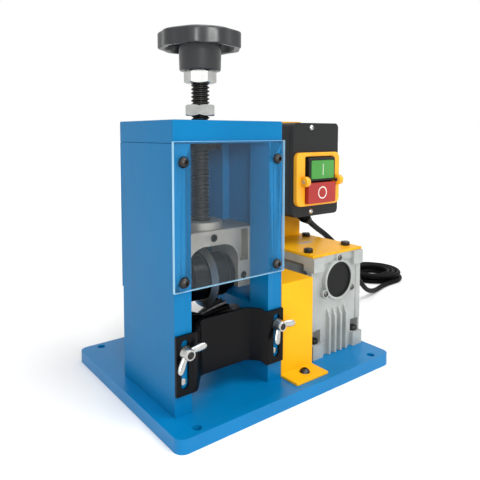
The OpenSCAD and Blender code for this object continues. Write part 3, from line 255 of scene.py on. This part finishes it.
# Nodes that look other than their slot does
FINISH_OF = {
    "base_plate": BASE_ENAMEL,
    "carriage": DIE_CAST,
    "screw_retainer": DIE_CAST,
    "blade_disc": BLACK_OXIDE,
    "roller_bearings": DULL_STEEL,
    "feed_shaft": DULL_STEEL,
    "feed_roller": BLACK_OXIDE,
    "gearbox_end_cap": DEEP_BLACK,
    "bezel_pins": GROUND_STEEL,
    "screw_bush": BLACK_OXIDE,
    "end_cap_screws": DULL_STEEL,
}
WHITE_MARK = plastic("white_mark", srgb(238, 236, 230), 0.4, 0.03)
# Pale blue-white for the guard's edges: painted glow of the light that they gather.
ACRYLIC_EDGE_GLOW = plastic("acrylic_edge_glow", srgb(150, 200, 226), 0.15, 0.02, 0.3)


# Objects


def piece(name, mesh, body, slot, material=None):
    """A new object on a body, with the finish of a material slot."""
    obj = bpy.data.objects.new(name, mesh)
    bpy.context.scene.collection.objects.link(obj)
    obj.data.materials.clear()
    obj.data.materials.append(material or MATERIALS[slot])
    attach(obj, body)
    return obj


def middle(node):
    """The centre of a node's box."""
    low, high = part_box(node)
    return (low + high) / 2


def joint_place(body):
    """A point on the axis that a body moves about."""
    return Vector(next(j for j in RECORD["behaviour"]["joints"] if j["child"] == body)["pos_m"])


def smooth(mesh, angle=35):
    mesh.polygons.foreach_set("use_smooth", [True] * len(mesh.polygons))
    mesh.set_sharp_from_angle(angle=math.radians(angle))
    mesh.update()


def built(fill):
    """A mesh made by a function that fills a bmesh."""
    bm = bmesh.new()
    fill(bm)
    bmesh.ops.recalc_face_normals(bm, faces=bm.faces)
    mesh = bpy.data.meshes.new("built")
    bm.to_mesh(mesh)
    bm.free()
    return mesh


def apply_modifiers(obj):
    graph = bpy.context.evaluated_depsgraph_get()
    mesh = bpy.data.meshes.new_from_object(obj.evaluated_get(graph))
    obj.modifiers.clear()
    old = obj.data
    obj.data = mesh
    bpy.data.meshes.remove(old)


def cut_away(obj, mesh):
    """Take a closed mesh out of an object."""
    cutter = bpy.data.objects.new("cutter", mesh)
    bpy.context.scene.collection.objects.link(cutter)
    cut = obj.modifiers.new("cut", "BOOLEAN")
    cut.operation = "DIFFERENCE"
    cut.solver = "EXACT"
    cut.object = cutter
    bpy.context.view_layer.update()
    apply_modifiers(obj)
    bpy.data.objects.remove(cutter)


def round_edges(obj, width, angle=EDGE_ANGLE):
    """Round the edges that turn by more than an angle."""
    bevel = obj.modifiers.new("edges", "BEVEL")
    bevel.width = width
    bevel.segments = 2
    bevel.limit_method = "ANGLE"
    bevel.angle_limit = math.radians(angle)
    bevel.miter_outer = "MITER_ARC"
    bevel.harden_normals = True
    bpy.context.view_layer.update()
    apply_modifiers(obj)


def soften(node, width, cut=None):
    """A copy of a CAD node with its edges rounded, which stands for the node."""
    mesh = NODES[node].data.copy()
    bm = bmesh.new()
    bm.from_mesh(mesh)
    bmesh.ops.remove_doubles(bm, verts=bm.verts, dist=1e-6)
    bmesh.ops.dissolve_limit(bm, angle_limit=math.radians(0.5), verts=bm.verts, edges=bm.edges)
    bm.to_mesh(mesh)
    bm.free()
    smooth(mesh, EDGE_ANGLE)
    obj = piece(node + "_finished", mesh, BODY_OF[node], SLOT_OF[node], FINISH_OF.get(node))
    if cut:
        cut_away(obj, cut)
    round_edges(obj, width)
    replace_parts(obj, node)


# Finishes of the CAD nodes

for node_name, node_object in NODES.items():
    node_object.data.materials.clear()
    node_object.data.materials.append(FINISH_OF.get(node_name) or MATERIALS[SLOT_OF[node_name]])

SOFT_EDGES = {
    1.2 * MM: ["base_plate", "left_side_plate", "right_side_plate", "top_plate", "switch_cover"],
    0.4 * MM: ["front_guard"],
    0.8 * MM: ["coupling_cover", "switch_bracket", "carriage", "switch_box", "terminal_box",
               "back_panel", "stop_button"],
    0.5 * MM: ["gearbox_end_cap", "output_covers", "shaft_coupling", "screw_retainer",
               "motor_flange", "lock_nut", "stop_nut"],
}
for edge_width, node_names in SOFT_EDGES.items():
    for node_name in node_names:
        soften(node_name, edge_width)


# Meshes from boxes and rings


def add_box(bm, low, high):
    """A block between two corners."""
    size = Vector(high) - Vector(low)
    place = Matrix.Translation((Vector(low) + Vector(high)) / 2) @ Matrix.Diagonal((*size, 1))
    bmesh.ops.create_cube(bm, size=1, matrix=place)


def join_rings(bm, rings, closed):
    """Faces between rings of equal counts; gives the rings' vertices."""
    rows = [[bm.verts.new(p) for p in ring] for ring in rings]
    for low, high in zip(rows, rows[1:] + rows[:1] if closed else rows[1:]):
        for i in range(len(low)):
            j = (i + 1) % len(low)
            bm.faces.new((low[i], low[j], high[j], high[i]))
    return rows


def add_rings(bm, rings):
    """A closed skin over rings of equal counts, capped at both ends."""
    rows = join_rings(bm, rings, closed=False)
    bm.faces.new(list(reversed(rows[0])))
    bm.faces.new(rows[-1])


def add_loop(bm, rings):
    """A closed skin over rings of equal counts, the last joined to the first."""
    join_rings(bm, rings, closed=True)


def skin(rings, angle=35):
    """A smooth mesh over rings, capped at both ends."""
    mesh = built(lambda bm: add_rings(bm, rings))
    smooth(mesh, angle)
    return mesh


def steady(radius):
    """A radius that is the same at every angle."""
    return lambda angle: radius


def circle(radius_at, z, sides, centre):
    """A level ring about an upright axis, its radius given by the angle."""
    ring = []
    for i in range(sides):
        angle = 2 * math.pi * i / sides
        radius = radius_at(angle)
        ring.append((centre[0] + radius * math.cos(angle), centre[1] + radius * math.sin(angle), z))
    return ring


def turned_rings(profile, sides):
    """Level rings about the Z axis, from heights and radii in millimetres."""
    return [circle(steady(r * MM), z * MM, sides, (0, 0)) for z, r in profile]


def facing_front(x, y, z):
    """The place of a turned mesh whose top looks to the front."""
    return Matrix.Translation((x, y, z)) @ Matrix.Rotation(math.pi / 2, 4, "X")


def front_rings(x, z, front, profile, sides):
    """Upright rings that face front, from radii and depths behind the front in millimetres."""
    rings = []
    for r, depth in profile:
        level = circle(steady(r * MM), 0, sides, (x, z))
        rings.append([(px, front + depth * MM, pz) for px, pz, _ in level])
    return rings


def side_rings(centre, side, profile):
    """Rings about the X direction, from distances to one side of the centre and radii."""
    sides = 96
    turns = [2 * math.pi * i / sides for i in range(sides)]
    return [[centre + Vector((side * x, r * math.cos(t), r * math.sin(t))) for t in turns]
            for x, r in profile]


def upright_ring(outline, grow, y):
    """A rectangle with rounded corners, facing front: outline is left, bottom, right, top and radius."""
    left, bottom, right, top, radius = outline
    corners = ((right, top, 0), (left, top, 90), (left, bottom, 180), (right, bottom, 270))
    steps = 6
    ring = []
    for x, z, start in corners:
        x -= math.copysign(radius, x - (left + right) / 2)
        z -= math.copysign(radius, z - (bottom + top) / 2)
        for i in range(steps + 1):
            angle = math.radians(start + 90 * i / steps)
            reach = radius + grow
            ring.append((x + reach * math.cos(angle), y, z + reach * math.sin(angle)))
    return ring


def edge_rings(outline, front, edge, turn):
    """Rings over a rounded front edge: turn is 1 for an outer edge and -1 for a window's."""
    steps = 3
    rings = []
    for i in range(steps + 1):
        angle = math.pi / 2 * i / steps
        inset = edge * (1 - math.cos(angle))
        rings.append(upright_ring(outline, -turn * inset, front + edge * (1 - math.sin(angle))))
    return rings


def frame_mesh(outline, window, front, back, edge):
    """A moulded frame around a window, its front edges rounded."""
    rings = [upright_ring(outline, 0, back)] + edge_rings(outline, front, edge, 1)
    rings += list(reversed(edge_rings(window, front, edge / 2, -1))) + [upright_ring(window, 0, back)]
    mesh = built(lambda bm: add_loop(bm, rings))
    smooth(mesh, 40)
    return mesh


# Height adjustment and carriage


def make_adjusting_screw():
    """Journal, thrust collar and a right-hand thread in one turned piece."""
    low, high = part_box("adjusting_screw")
    centre = middle("adjusting_screw")
    sides, rows_per_turn = 32, 12
    crest = 9.8 * MM
    collar_z = low.z + 12.3 * MM
    thread_z = collar_z + 4 * MM

    def thread(z):
        def radius(angle):
            phase = ((z - thread_z) / THREAD_PITCH - angle / (2 * math.pi)) % 1
            flank = abs(2 * phase - 1)
            return crest - THREAD_DEPTH * min(max(1.8 * flank - 0.4, 0), 1)
        return radius

    # Height, and radius in millimetres
    plain = [(low.z, 5.5), (low.z + 0.5 * MM, 6), (collar_z, 6), (collar_z, 12.5),
             (collar_z + 0.5 * MM, 13), (thread_z - 0.5 * MM, 13), (thread_z, 12.5)]
    rings = [circle(steady(r * MM), z, sides, centre) for z, r in plain]
    rows = math.ceil((high.z - thread_z) / THREAD_PITCH * rows_per_turn)
    for i in range(rows + 1):
        z = thread_z + (high.z - thread_z) * i / rows
        rings.append(circle(thread(z), z, sides, centre))
    screw = piece("adjusting_screw_thread", skin(rings, 60), "screw", "dark_steel")
    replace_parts(screw, "adjusting_screw")


def make_knob():
    """Lobed hand knob: a hub, a hollow underside and a soft-edged rim."""
    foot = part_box("knob")[0].z
    centre = joint_place("screw")
    sides = 144
    lobe_depth = 2.9 * MM
    lobe_count = 9
    lobe_turn = math.radians(-13)
    # Height over the hub's foot, radius in millimetres and share of the lobes
    profile = [
        (0, 20.6, 0), (0.4, 21.5, 0), (1.6, 22, 0), (28, 22.6, 0), (30, 23.4, 0), (31, 26, 0),
        (31, 35, 0.3), (29.5, 36.6, 0.5), (24.5, 37.2, 0.6), (23.2, 38, 0.7), (22.8, 39.5, 0.8),
        (22.6, 42.4, 0.8), (22.8, 43.6, 0.85), (23.4, 44.3, 0.9), (24.2, 44.5, 0.95), (27, 44.5, 1),
        (34, 44.5, 1), (37.4, 44.5, 0.85), (38.2, 44.3, 0.78), (38.8, 43.8, 0.72), (39.2, 43, 0.68),
        (39.8, 41.2, 0.6), (40.8, 37.6, 0.45), (42.2, 31.6, 0.25), (43.8, 24, 0.1), (45, 15, 0.05),
        (45.6, 7, 0),
    ]

    def lobed(r, share):
        def radius(angle):
            wave = (1 - math.cos(lobe_count * (angle - lobe_turn))) / 2
            return r * MM - share * lobe_depth * wave
        return radius

    rings = [circle(lobed(r, share), foot + z * MM, sides, centre) for z, r, share in profile]
    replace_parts(piece("knob_moulded", skin(rings, 50), "screw", "knob_plastic"), "knob")


def make_blade_drums():
    """The stepped drums that clamp the blade, one on each side."""
    low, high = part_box("blade_spacers")
    disc_low, disc_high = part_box("blade_disc")
    inner = (disc_high.x - disc_low.x) / 2
    outer = (high.x - low.x) / 2
    step = outer - (outer - inner) / 3
    # Distance from the blade's middle and radius
    profile = [(inner, 24.5 * MM), (step - 0.8 * MM, 24.5 * MM), (step, 23.7 * MM), (step, 21 * MM),
               (outer - 0.5 * MM, 21 * MM), (outer, 20.5 * MM)]

    def drums(bm):
        for side in (-1, 1):
            add_rings(bm, side_rings(middle("blade_spacers"), side, profile))

    mesh = built(drums)
    smooth(mesh)
    pair = piece("blade_drums", mesh, "blade", SLOT_OF["blade_spacers"], BLACK_OXIDE)
    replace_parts(pair, "blade_spacers")


def make_ground_edges():
    """The two bright ground bevels of the blade."""
    low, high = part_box("blade_disc")
    radius = (high.z - low.z) / 2
    half = (high.x - low.x) / 2
    proud, inner = 0.05 * MM, radius - 7 * MM
    # Distance from the blade's middle and radius
    profile = [(0.5 * MM, radius + proud), (half + proud, inner),
               (half - 0.5 * MM, inner), (0.3 * MM, radius - 1 * MM)]

    def bevels(bm):
        for side in (-1, 1):
            add_loop(bm, side_rings(middle("blade_disc"), side, profile))

    mesh = built(bevels)
    smooth(mesh)
    piece("blade_ground_edges", mesh, "blade", "bright_steel", GROUND_STEEL)


def make_hole_shade_cups():
    """Dark steel cups in the tapped holes on the front of the carriage: painted shade of the deep holes,
    which also stands for their threads.
    """
    low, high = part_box("carriage")
    centre_x = middle("carriage").x
    crown_z, leg_z, leg_x = high.z - 8 * MM, low.z + 12.5 * MM, 39.5 * MM
    for name, x, z, r in (("crown", centre_x, crown_z, 4.2),
                          ("left_leg", centre_x - leg_x, leg_z, 3.95),
                          ("right_leg", centre_x + leg_x, leg_z, 3.95)):
        # A cup in the hole: height over the front and radius in millimetres
        cup = [(-6, r), (-0.3, r), (-0.5, r - 0.5), (-5, r - 0.7)]
        mesh = skin(turned_rings(cup, 28))
        mesh.transform(facing_front(x, low.y, z))
        # The pieces are named for the threads, but their dark steel is painted shade of the holes.
        piece(name + "_thread", mesh, BODY_OF["carriage"], SLOT_OF["carriage"], MATERIALS["dark_steel"])


# Tower, guide and wing screws


def make_guard_edge_glow():
    """The sawn edges of the clear guard, as pale blue-white strips: a painted glow of the light that the
    edges gather.
    """
    low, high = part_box("front_guard")
    width = 0.3 * MM
    out = Vector((0.05, 0.05, 0.05)) * MM
    a, b = low - out, high + out

    def strips(bm):
        add_box(bm, a, (a.x + width, b.y, b.z))
        add_box(bm, (b.x - width, a.y, a.z), b)
        add_box(bm, (a.x + width, a.y, a.z), (b.x - width, b.y, a.z + width))
        add_box(bm, (a.x + width, a.y, b.z - width), (b.x - width, b.y, b.z))

    piece("guard_edge_glow", built(strips), "frame", "clear_acrylic", ACRYLIC_EDGE_GLOW)


def make_slot_screws():
    """Flush screw heads on the side plates, seen in the lower ends of the guide's slots."""
    inset, height = 9.5 * MM, 47 * MM
    # Height over the plate's front and radius in millimetres
    head = [(-1, 3.1), (0, 3.1), (0.15, 2.95)]
    for node in ("left_side_plate", "right_side_plate"):
        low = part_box(node)[0]
        mesh = skin(turned_rings(head, 28))
        mesh.transform(facing_front(low.x + inset, low.y, height))
        piece(node + "_plug_screw", mesh, "frame", "zinc")


def rounded_line(corners, radius):
    """A line through corners, each turned off by a curve of about a radius."""
    steps = 5
    line = [corners[0]]
    for a, b, c in zip(corners, corners[1:], corners[2:]):
        start = b + (a - b).normalized() * radius
        end = b + (c - b).normalized() * radius
        for i in range(steps + 1):
            t = i / steps
            line.append(start.lerp(b, t).lerp(b.lerp(end, t), t))
    return line + [corners[-1]]


def make_wire_guide():
    """The guide as one bent sheet, with round bends, a set-back panel and two slots."""
    low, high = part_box("wire_guide")
    centre_x = middle("wire_guide").x
    thick, bend_r = 3 * MM, 5 * MM
    outer, inner, half = (high.x - low.x) / 2, 43 * MM, 30 * MM
    flange_y, panel_y = low.y + thick / 2, high.y - thick / 2
    # The panel's lower edge stands higher than the flanges', and so does its upper edge
    rise, crown, step_w = 5 * MM, 3.5 * MM, 3 * MM
    corners = [Vector((x, y)) for x, y in (
        (-outer, flange_y), (-inner, flange_y), (-half, panel_y),
        (half, panel_y), (inner, flange_y), (outer, flange_y))]
    line = rounded_line(corners, bend_r)
    rings = []
    for i, place in enumerate(line):
        along = (line[min(i + 1, len(line) - 1)] - line[max(i - 1, 0)]).normalized()
        across = Vector((-along.y, along.x)) * thick / 2
        share = min(max((inner + 0.5 * MM - abs(place.x)) / step_w, 0), 1)
        bottom, top = low.z + rise * share, high.z - crown * (1 - share)
        front, back = place - across, place + across
        rings.append([(centre_x + p.x, p.y, z) for p, z in (
            (front, bottom), (front, top), (back, top), (back, bottom))])
    mesh = built(lambda bm: add_rings(bm, rings))
    guide = piece("wire_guide_bent", mesh, "guide", "black_sheet")

    slot_x, slot_low, slot_high, slot_r = 57.5 * MM, 41 * MM, 88.5 * MM, 4 * MM

    def slots(bm):
        for x in (centre_x - slot_x, centre_x + slot_x):
            outline = (x - slot_r, slot_low, x + slot_r, slot_high, slot_r * 0.999)
            add_rings(bm, [upright_ring(outline, 0, y) for y in (low.y - thick, low.y + 2 * thick)])

    cut_away(guide, built(slots))
    smooth(guide.data, 40)
    round_edges(guide, 0.4 * MM, 60)
    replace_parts(guide, "wire_guide")


def wing_rings(degrees):
    """A cast wing from the hub outwards and forwards, as rings of an ellipse."""
    outward = Vector((math.cos(math.radians(degrees)), math.sin(math.radians(degrees)), 0))
    sideways = Vector((-outward.y, outward.x, 0))
    ahead = Vector((0, 0, 1))
    sides = 20
    turns = [2 * math.pi * i / sides for i in range(sides)]
    # Distance from the axis, width, thickness and way forward in millimetres
    profile = [(3, 7, 5, 3.6), (6, 6.8, 4.6, 4), (9, 7, 4.2, 4.6), (12, 7.6, 4, 5.4),
               (15, 7.6, 3.8, 6.2), (17.4, 6.6, 3.4, 6.9), (18.8, 4.8, 2.6, 7.3), (19.5, 2.4, 1.4, 7.5)]
    rings = []
    for reach, width, thick, forward in profile:
        place = outward * reach * MM + ahead * forward * MM
        wide, deep = sideways * width / 2 * MM, ahead * thick / 2 * MM
        rings.append([place + wide * math.cos(t) + deep * math.sin(t) for t in turns])
    return rings


def make_wing_screws():
    """Cast wing screws: a shank in the slot, a waisted hub with two wings, and the stud's dark end."""
    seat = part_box("wire_guide")[0].y - 0.3 * MM
    stud_end = [(8, 3.3), (9.8, 3.3), (10.3, 2.8)]
    for node, body, angles in (("left_wing_screw", "wing_left", (14, -122)),
                               ("right_wing_screw", "wing_right", (-2, -108))):
        axis = joint_place(body)
        place = facing_front(axis.x, seat, axis.z)
        shank = (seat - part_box(node)[1].y) / MM
        # Height over the seat and radius in millimetres
        hub = [(shank, 2.7), (0, 2.9), (0, 6.6), (0.8, 6.9), (2, 6.6), (6, 5.6), (9.4, 5.4),
               (10, 4.9), (10, 3.6), (9, 3.4)]

        def wing_screw(bm):
            add_rings(bm, turned_rings(hub, 32))
            for degrees in angles:
                add_rings(bm, wing_rings(degrees))

        mesh = built(wing_screw)
        mesh.transform(place)
        smooth(mesh, 50)
        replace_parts(piece(node + "_cast", mesh, body, "zinc"), node)

        mesh = skin(turned_rings(stud_end, 28))
        mesh.transform(place)
        piece(body + "_stud_end", mesh, body, "zinc", MATERIALS["dark_steel"])


# Switch


def make_bezel():
    """The moulded bezel around both buttons."""
    low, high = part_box("switch_bezel")
    thick, edge = 6 * MM, 1.4 * MM
    outline = (low.x, low.z - 1.5 * MM, high.x, high.z - 8.5 * MM, 8 * MM)
    window = (83.5 * MM, 192.9 * MM, 136 * MM, 252.4 * MM, 2 * MM)
    mesh = frame_mesh(outline, window, high.y - thick, high.y, edge)
    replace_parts(piece("switch_bezel_moulded", mesh, "frame", "bezel_plastic"), "switch_bezel")


def make_bezel_lugs():
    """The two lugs beside the bezel, which hold its pins."""
    low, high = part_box("switch_bezel")
    pin_low, pin_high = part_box("bezel_pins")
    radius, half_w, soft, pin_out = 6.5 * MM, 3.5 * MM, 0.7 * MM, 4.5 * MM
    root = high.y - 2 * MM
    y, z = low.y + radius, (pin_low.z + pin_high.z) / 2
    steps = 16
    turns = [math.radians(90 - 180 * i / steps) for i in range(steps + 1)]

    def lug_ring(x, inset):
        reach = radius - inset
        front = [(x, y - reach * math.cos(t), z + reach * math.sin(t)) for t in turns]
        return front + [(x, root, z - reach), (x, root, z + reach)]

    def lugs(bm):
        for x in (pin_low.x + pin_out, pin_high.x - pin_out):
            add_rings(bm, [lug_ring(x - half_w, soft), lug_ring(x - half_w + soft, 0),
                           lug_ring(x + half_w - soft, 0), lug_ring(x + half_w, soft)])

    mesh = built(lugs)
    smooth(mesh, 50)
    piece("bezel_lugs", mesh, "frame", "bezel_plastic")


def make_start_button():
    """The collar of the start button, and its cap."""
    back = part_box("switch_bezel")[1].y
    left, bottom, right, top, radius = START_CAP
    gap = 0.4 * MM
    opening = (left - gap, bottom - gap, right + gap, top + gap, radius)
    collar = (left - 4 * MM, bottom - 2.4 * MM, right + 2.2 * MM, top + 3.6 * MM, 2 * MM)
    mesh = frame_mesh(collar, opening, START_FACE + 0.3 * MM, back, 0.7 * MM)
    piece("start_collar", mesh, "frame", "black_plastic")

    rings = [upright_ring(START_CAP, 0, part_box("start_button")[1].y)]
    rings += edge_rings(START_CAP, START_FACE, 0.6 * MM, 1)
    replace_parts(piece("start_cap", skin(rings, 40), "start", "green_plastic"), "start_button")


def make_button_marks():
    """The printed bar of the start button and ring of the stop button."""
    left, bottom, right, top, _ = START_CAP
    half = Vector((0.4, 0.15, 7.2)) * MM
    face = Vector(((left + right) / 2, START_FACE, (bottom + top) / 2))
    mesh = built(lambda bm: add_box(bm, face - half, face + half))
    piece("start_mark", mesh, "start", "green_plastic", WHITE_MARK)

    centre, front = middle("stop_button"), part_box("stop_button")[0].y
    # Radius and depth in millimetres
    profile = [(6.5, 0.15), (6.5, -0.15), (7.8, -0.15), (7.8, 0.15)]
    mesh = built(lambda bm: add_loop(bm, front_rings(centre.x, centre.z, front, profile, 40)))
    piece("stop_mark", mesh, "stop", "red_plastic", WHITE_MARK)


# Gearbox


def make_gearbox_housing():
    """The housing, its upper front set back between the side pads."""
    low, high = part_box("gearbox_housing")
    step = 3.5 * MM
    corners = ((low.x + GEAR_PAD, low.y - step, middle("gearbox_end_cap").z),
               (high.x - GEAR_PAD, low.y + step, high.z + step))
    soften("gearbox_housing", 0.8 * MM, cut=built(lambda bm: add_box(bm, *corners)))


def make_worm_boss():
    """The rim around the worm's end cap, with three ears."""
    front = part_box("gearbox_housing")[0].y
    worm = middle("gearbox_end_cap")
    ear_reach, sides = 27 * MM, 56
    # Radius and depth in millimetres
    rim = [(24.6, 6), (24.6, -0.2), (24.1, -0.6), (22.4, -0.6), (21.9, -0.2), (21.9, 6)]
    ear = [(5.2, 6), (5.2, -0.1), (4.8, -0.5), (4, -0.5), (3.8, -0.1), (2.2, 0), (2.2, 6)]

    def boss(bm):
        add_loop(bm, front_rings(worm.x, worm.z, front, rim, sides))
        for degrees in (90, 210, 330):
            angle = math.radians(degrees)
            x, z = worm.x + ear_reach * math.cos(angle), worm.z + ear_reach * math.sin(angle)
            add_loop(bm, front_rings(x, z, front, ear, sides))

    mesh = built(boss)
    smooth(mesh, 40)
    piece("worm_boss", mesh, "frame", "cast_aluminium")


def make_cooling_fins():
    """Upright fins on the front of the housing, each with a slanting top."""
    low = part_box("gearbox_housing")[0]
    centre_x = middle("gearbox_end_cap").x
    count, half_t, pitch = 4, 1.7 * MM, 10 * MM
    # Depth behind the front and height over the foot in millimetres
    outline = [(6, 0.2), (-0.2, 0.2), (-0.2, 46), (6, 58)]

    def fins(bm):
        for i in range(count):
            x = centre_x + (i - (count - 1) / 2) * pitch
            add_rings(bm, [[(x + side, low.y + y * MM, low.z + z * MM) for y, z in outline]
                           for side in (-half_t, half_t)])

    round_edges(piece("cooling_fins", built(fins), "frame", "cast_aluminium"), 0.7 * MM)


def make_foot_webs():
    """Side and back walls of the pockets above the four feet."""
    low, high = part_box("gearbox_housing")
    thick, length, inset = 2.4 * MM, 12 * MM, 4.5 * MM
    bottom, top = 30.6 * MM, 47.4 * MM
    front_y, rear_y = low.y + inset, high.y - inset - length

    def webs(bm):
        for x, wall_x in ((low.x, low.x), (high.x - thick, high.x - GEAR_PAD)):
            for y, wall_y in ((front_y, front_y + length), (rear_y, rear_y - thick)):
                add_box(bm, (x, y, bottom), (x + thick, y + length, top))
                add_box(bm, (wall_x, wall_y, bottom), (wall_x + GEAR_PAD, wall_y + thick, top))

    piece("foot_webs", built(webs), "frame", "cast_aluminium")


def make_shelf_pad():
    """The casting's raised pad, which shows through the long hole of the switch bracket."""
    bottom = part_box("switch_bracket")[0].z
    centre, half_l, radius = Vector((105, -18)) * MM, 8 * MM, 3.9 * MM
    root, rise, soft = 1 * MM, 2.8 * MM, 0.3 * MM

    def outline(inset, height):
        ring = circle(steady(radius - inset), height, 48, centre)
        return [(x + math.copysign(half_l, x - centre.x), y, z) for x, y, z in ring]

    rings = [outline(0, bottom - root), outline(0, bottom + rise - soft), outline(soft, bottom + rise)]
    piece("shelf_pad", skin(rings), "frame", "cast_aluminium")


make_adjusting_screw()
make_knob()
make_wire_guide()
make_bezel()
make_bezel_lugs()
make_start_button()
make_gearbox_housing()
make_worm_boss()
make_cooling_fins()
make_foot_webs()
make_wing_screws()
make_blade_drums()
make_hole_shade_cups()
make_ground_edges()
make_button_marks()
make_guard_edge_glow()
make_slot_screws()
make_shelf_pad()


# Power cord


def catmull(points, steps):
    """A smooth line through points."""
    ends = [2 * points[0] - points[1]] + points + [2 * points[-1] - points[-2]]
    line = []
    for a, b, c, d in zip(ends, ends[1:], ends[2:], ends[3:]):
        for i in range(steps):
            t = i / steps
            line.append(0.5 * (2 * b + (c - a) * t + (2 * a - 5 * b + 4 * c - d) * t ** 2
                               + (3 * b - a - 3 * c + d) * t ** 3))
    return line + [points[-1]]


def coil_point(turn):
    """The coil winds in on the floor, climbs while it turns round, and winds out on top."""
    half = COIL_TURNS / 2
    climb = min(max((turn - half) * 2 + 0.5, 0), 1)
    radius = COIL_R - COIL_PITCH * (half - abs(turn - half))
    angle = 2 * math.pi * turn - math.pi / 2
    centre = COIL_START + Vector((0, COIL_R, COIL_PITCH * climb))
    return centre + radius * Vector((math.cos(angle), math.sin(angle), 0))


def cord_line():
    """The whole cord from the gland over the floor and through the coil to the plug."""
    route = catmull([Vector(p) * MM for p in CORD_ROUTE], 4)
    coil = [coil_point(i / COIL_STEPS) for i in range(int(COIL_TURNS * COIL_STEPS) + 1)]
    end = coil[-1] - Vector((CORD_D + PLUG_LEAD, 0, 0))
    line = route + coil + [coil[-1].lerp(end, t) for t in (0.25, 0.5, 0.75, 1)]
    return [Vector((p.x, p.y, max(p.z, CORD_D / 2))) for p in line]


def make_cord():
    """The cord's round sheath, which stands for both of its CAD nodes."""
    line = cord_line()
    curve = bpy.data.curves.new("power_cord_curve", "CURVE")
    curve.dimensions = "3D"
    curve.bevel_depth = CORD_D / 2
    curve.bevel_resolution = 5
    curve.use_fill_caps = True
    spline = curve.splines.new("POLY")
    spline.points.add(len(line) - 1)
    for point, place in zip(spline.points, line):
        point.co = (*place, 1)
    spline.use_smooth = True
    cord = piece("cord_sheath", curve, "frame", "cord_rubber")
    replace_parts(cord, "power_cord", "cord_coil")


make_cord()


# Stage, light and camera


def make_floor():
    """A pale matt floor under the machine."""
    mesh = built(lambda bm: bmesh.ops.create_grid(bm, x_segments=1, y_segments=1, size=FLOOR_REACH))
    floor = bpy.data.objects.new("floor", mesh)
    bpy.context.scene.collection.objects.link(floor)
    f = Finish("pale_floor").set(Roughness=0.9, Specular_IOR_Level=0.0)
    f.link(f.ramp(f.noise(3), (0.96, 0.96, 0.96, 1), (0.98, 0.98, 0.98, 1)), "Base Color")
    mesh.materials.append(f.material)


def make_world():
    """White to the eye and in reflections, and weaker as a light."""
    world = bpy.data.worlds.new("studio")
    world.use_nodes = True
    tree = world.node_tree
    background = tree.nodes["Background"]
    path = tree.nodes.new("ShaderNodeLightPath")
    seen = path.outputs["Is Camera Ray"]
    for ray in ("Is Glossy Ray", "Is Transmission Ray"):
        either = tree.nodes.new("ShaderNodeMath")
        either.operation = "MAXIMUM"
        tree.links.new(seen, either.inputs[0])
        tree.links.new(path.outputs[ray], either.inputs[1])
        seen = either.outputs[0]
    strength = tree.nodes.new("ShaderNodeMapRange")
    strength.inputs["To Min"].default_value = WORLD_LIGHT
    strength.inputs["To Max"].default_value = 1.0
    tree.links.new(seen, strength.inputs["Value"])
    tree.links.new(strength.outputs["Result"], background.inputs["Strength"])
    background.inputs["Color"].default_value = (1, 1, 1, 1)
    bpy.context.scene.world = world


def make_lamp(kind, name, at, power, spread):
    """A lamp that looks at the machine: a sun of an angle, or an area of a size."""
    data = bpy.data.lights.new(name, kind)
    data.energy = power
    if kind == "SUN":
        data.angle = math.radians(spread)
    else:
        data.size = spread
    lamp = bpy.data.objects.new(name, data)
    bpy.context.scene.collection.objects.link(lamp)
    lamp.location = at
    lamp.rotation_euler = (LAMP_AIM - Vector(at)).to_track_quat("-Z", "Y").to_euler()


def make_camera():
    data = bpy.data.cameras.new("photo_camera")
    data.lens = CAMERA_LENS
    data.sensor_width = CAMERA_SENSOR
    data.shift_x, data.shift_y = CAMERA_SHIFT
    camera = bpy.data.objects.new("photo_camera", data)
    bpy.context.scene.collection.objects.link(camera)
    camera.location = CAMERA_AT
    camera.rotation_euler = (math.radians(90 - CAMERA_PITCH), 0, math.radians(CAMERA_AZIMUTH))
    bpy.context.scene.camera = camera


make_floor()
make_world()
make_lamp("SUN", "key", (0.5, -0.9, 1.7), 1.45, 30)
make_lamp("SUN", "top", (0, 0.2, 2), 0.7, 60)
make_lamp("SUN", "fill", (-1.2, -0.8, 1.0), 0.5, 60)
make_lamp("AREA", "softbox", (-0.42, -0.9, 0.48), 4, 0.2)
make_camera()
bpy.context.scene.view_settings.view_transform = "Standard"
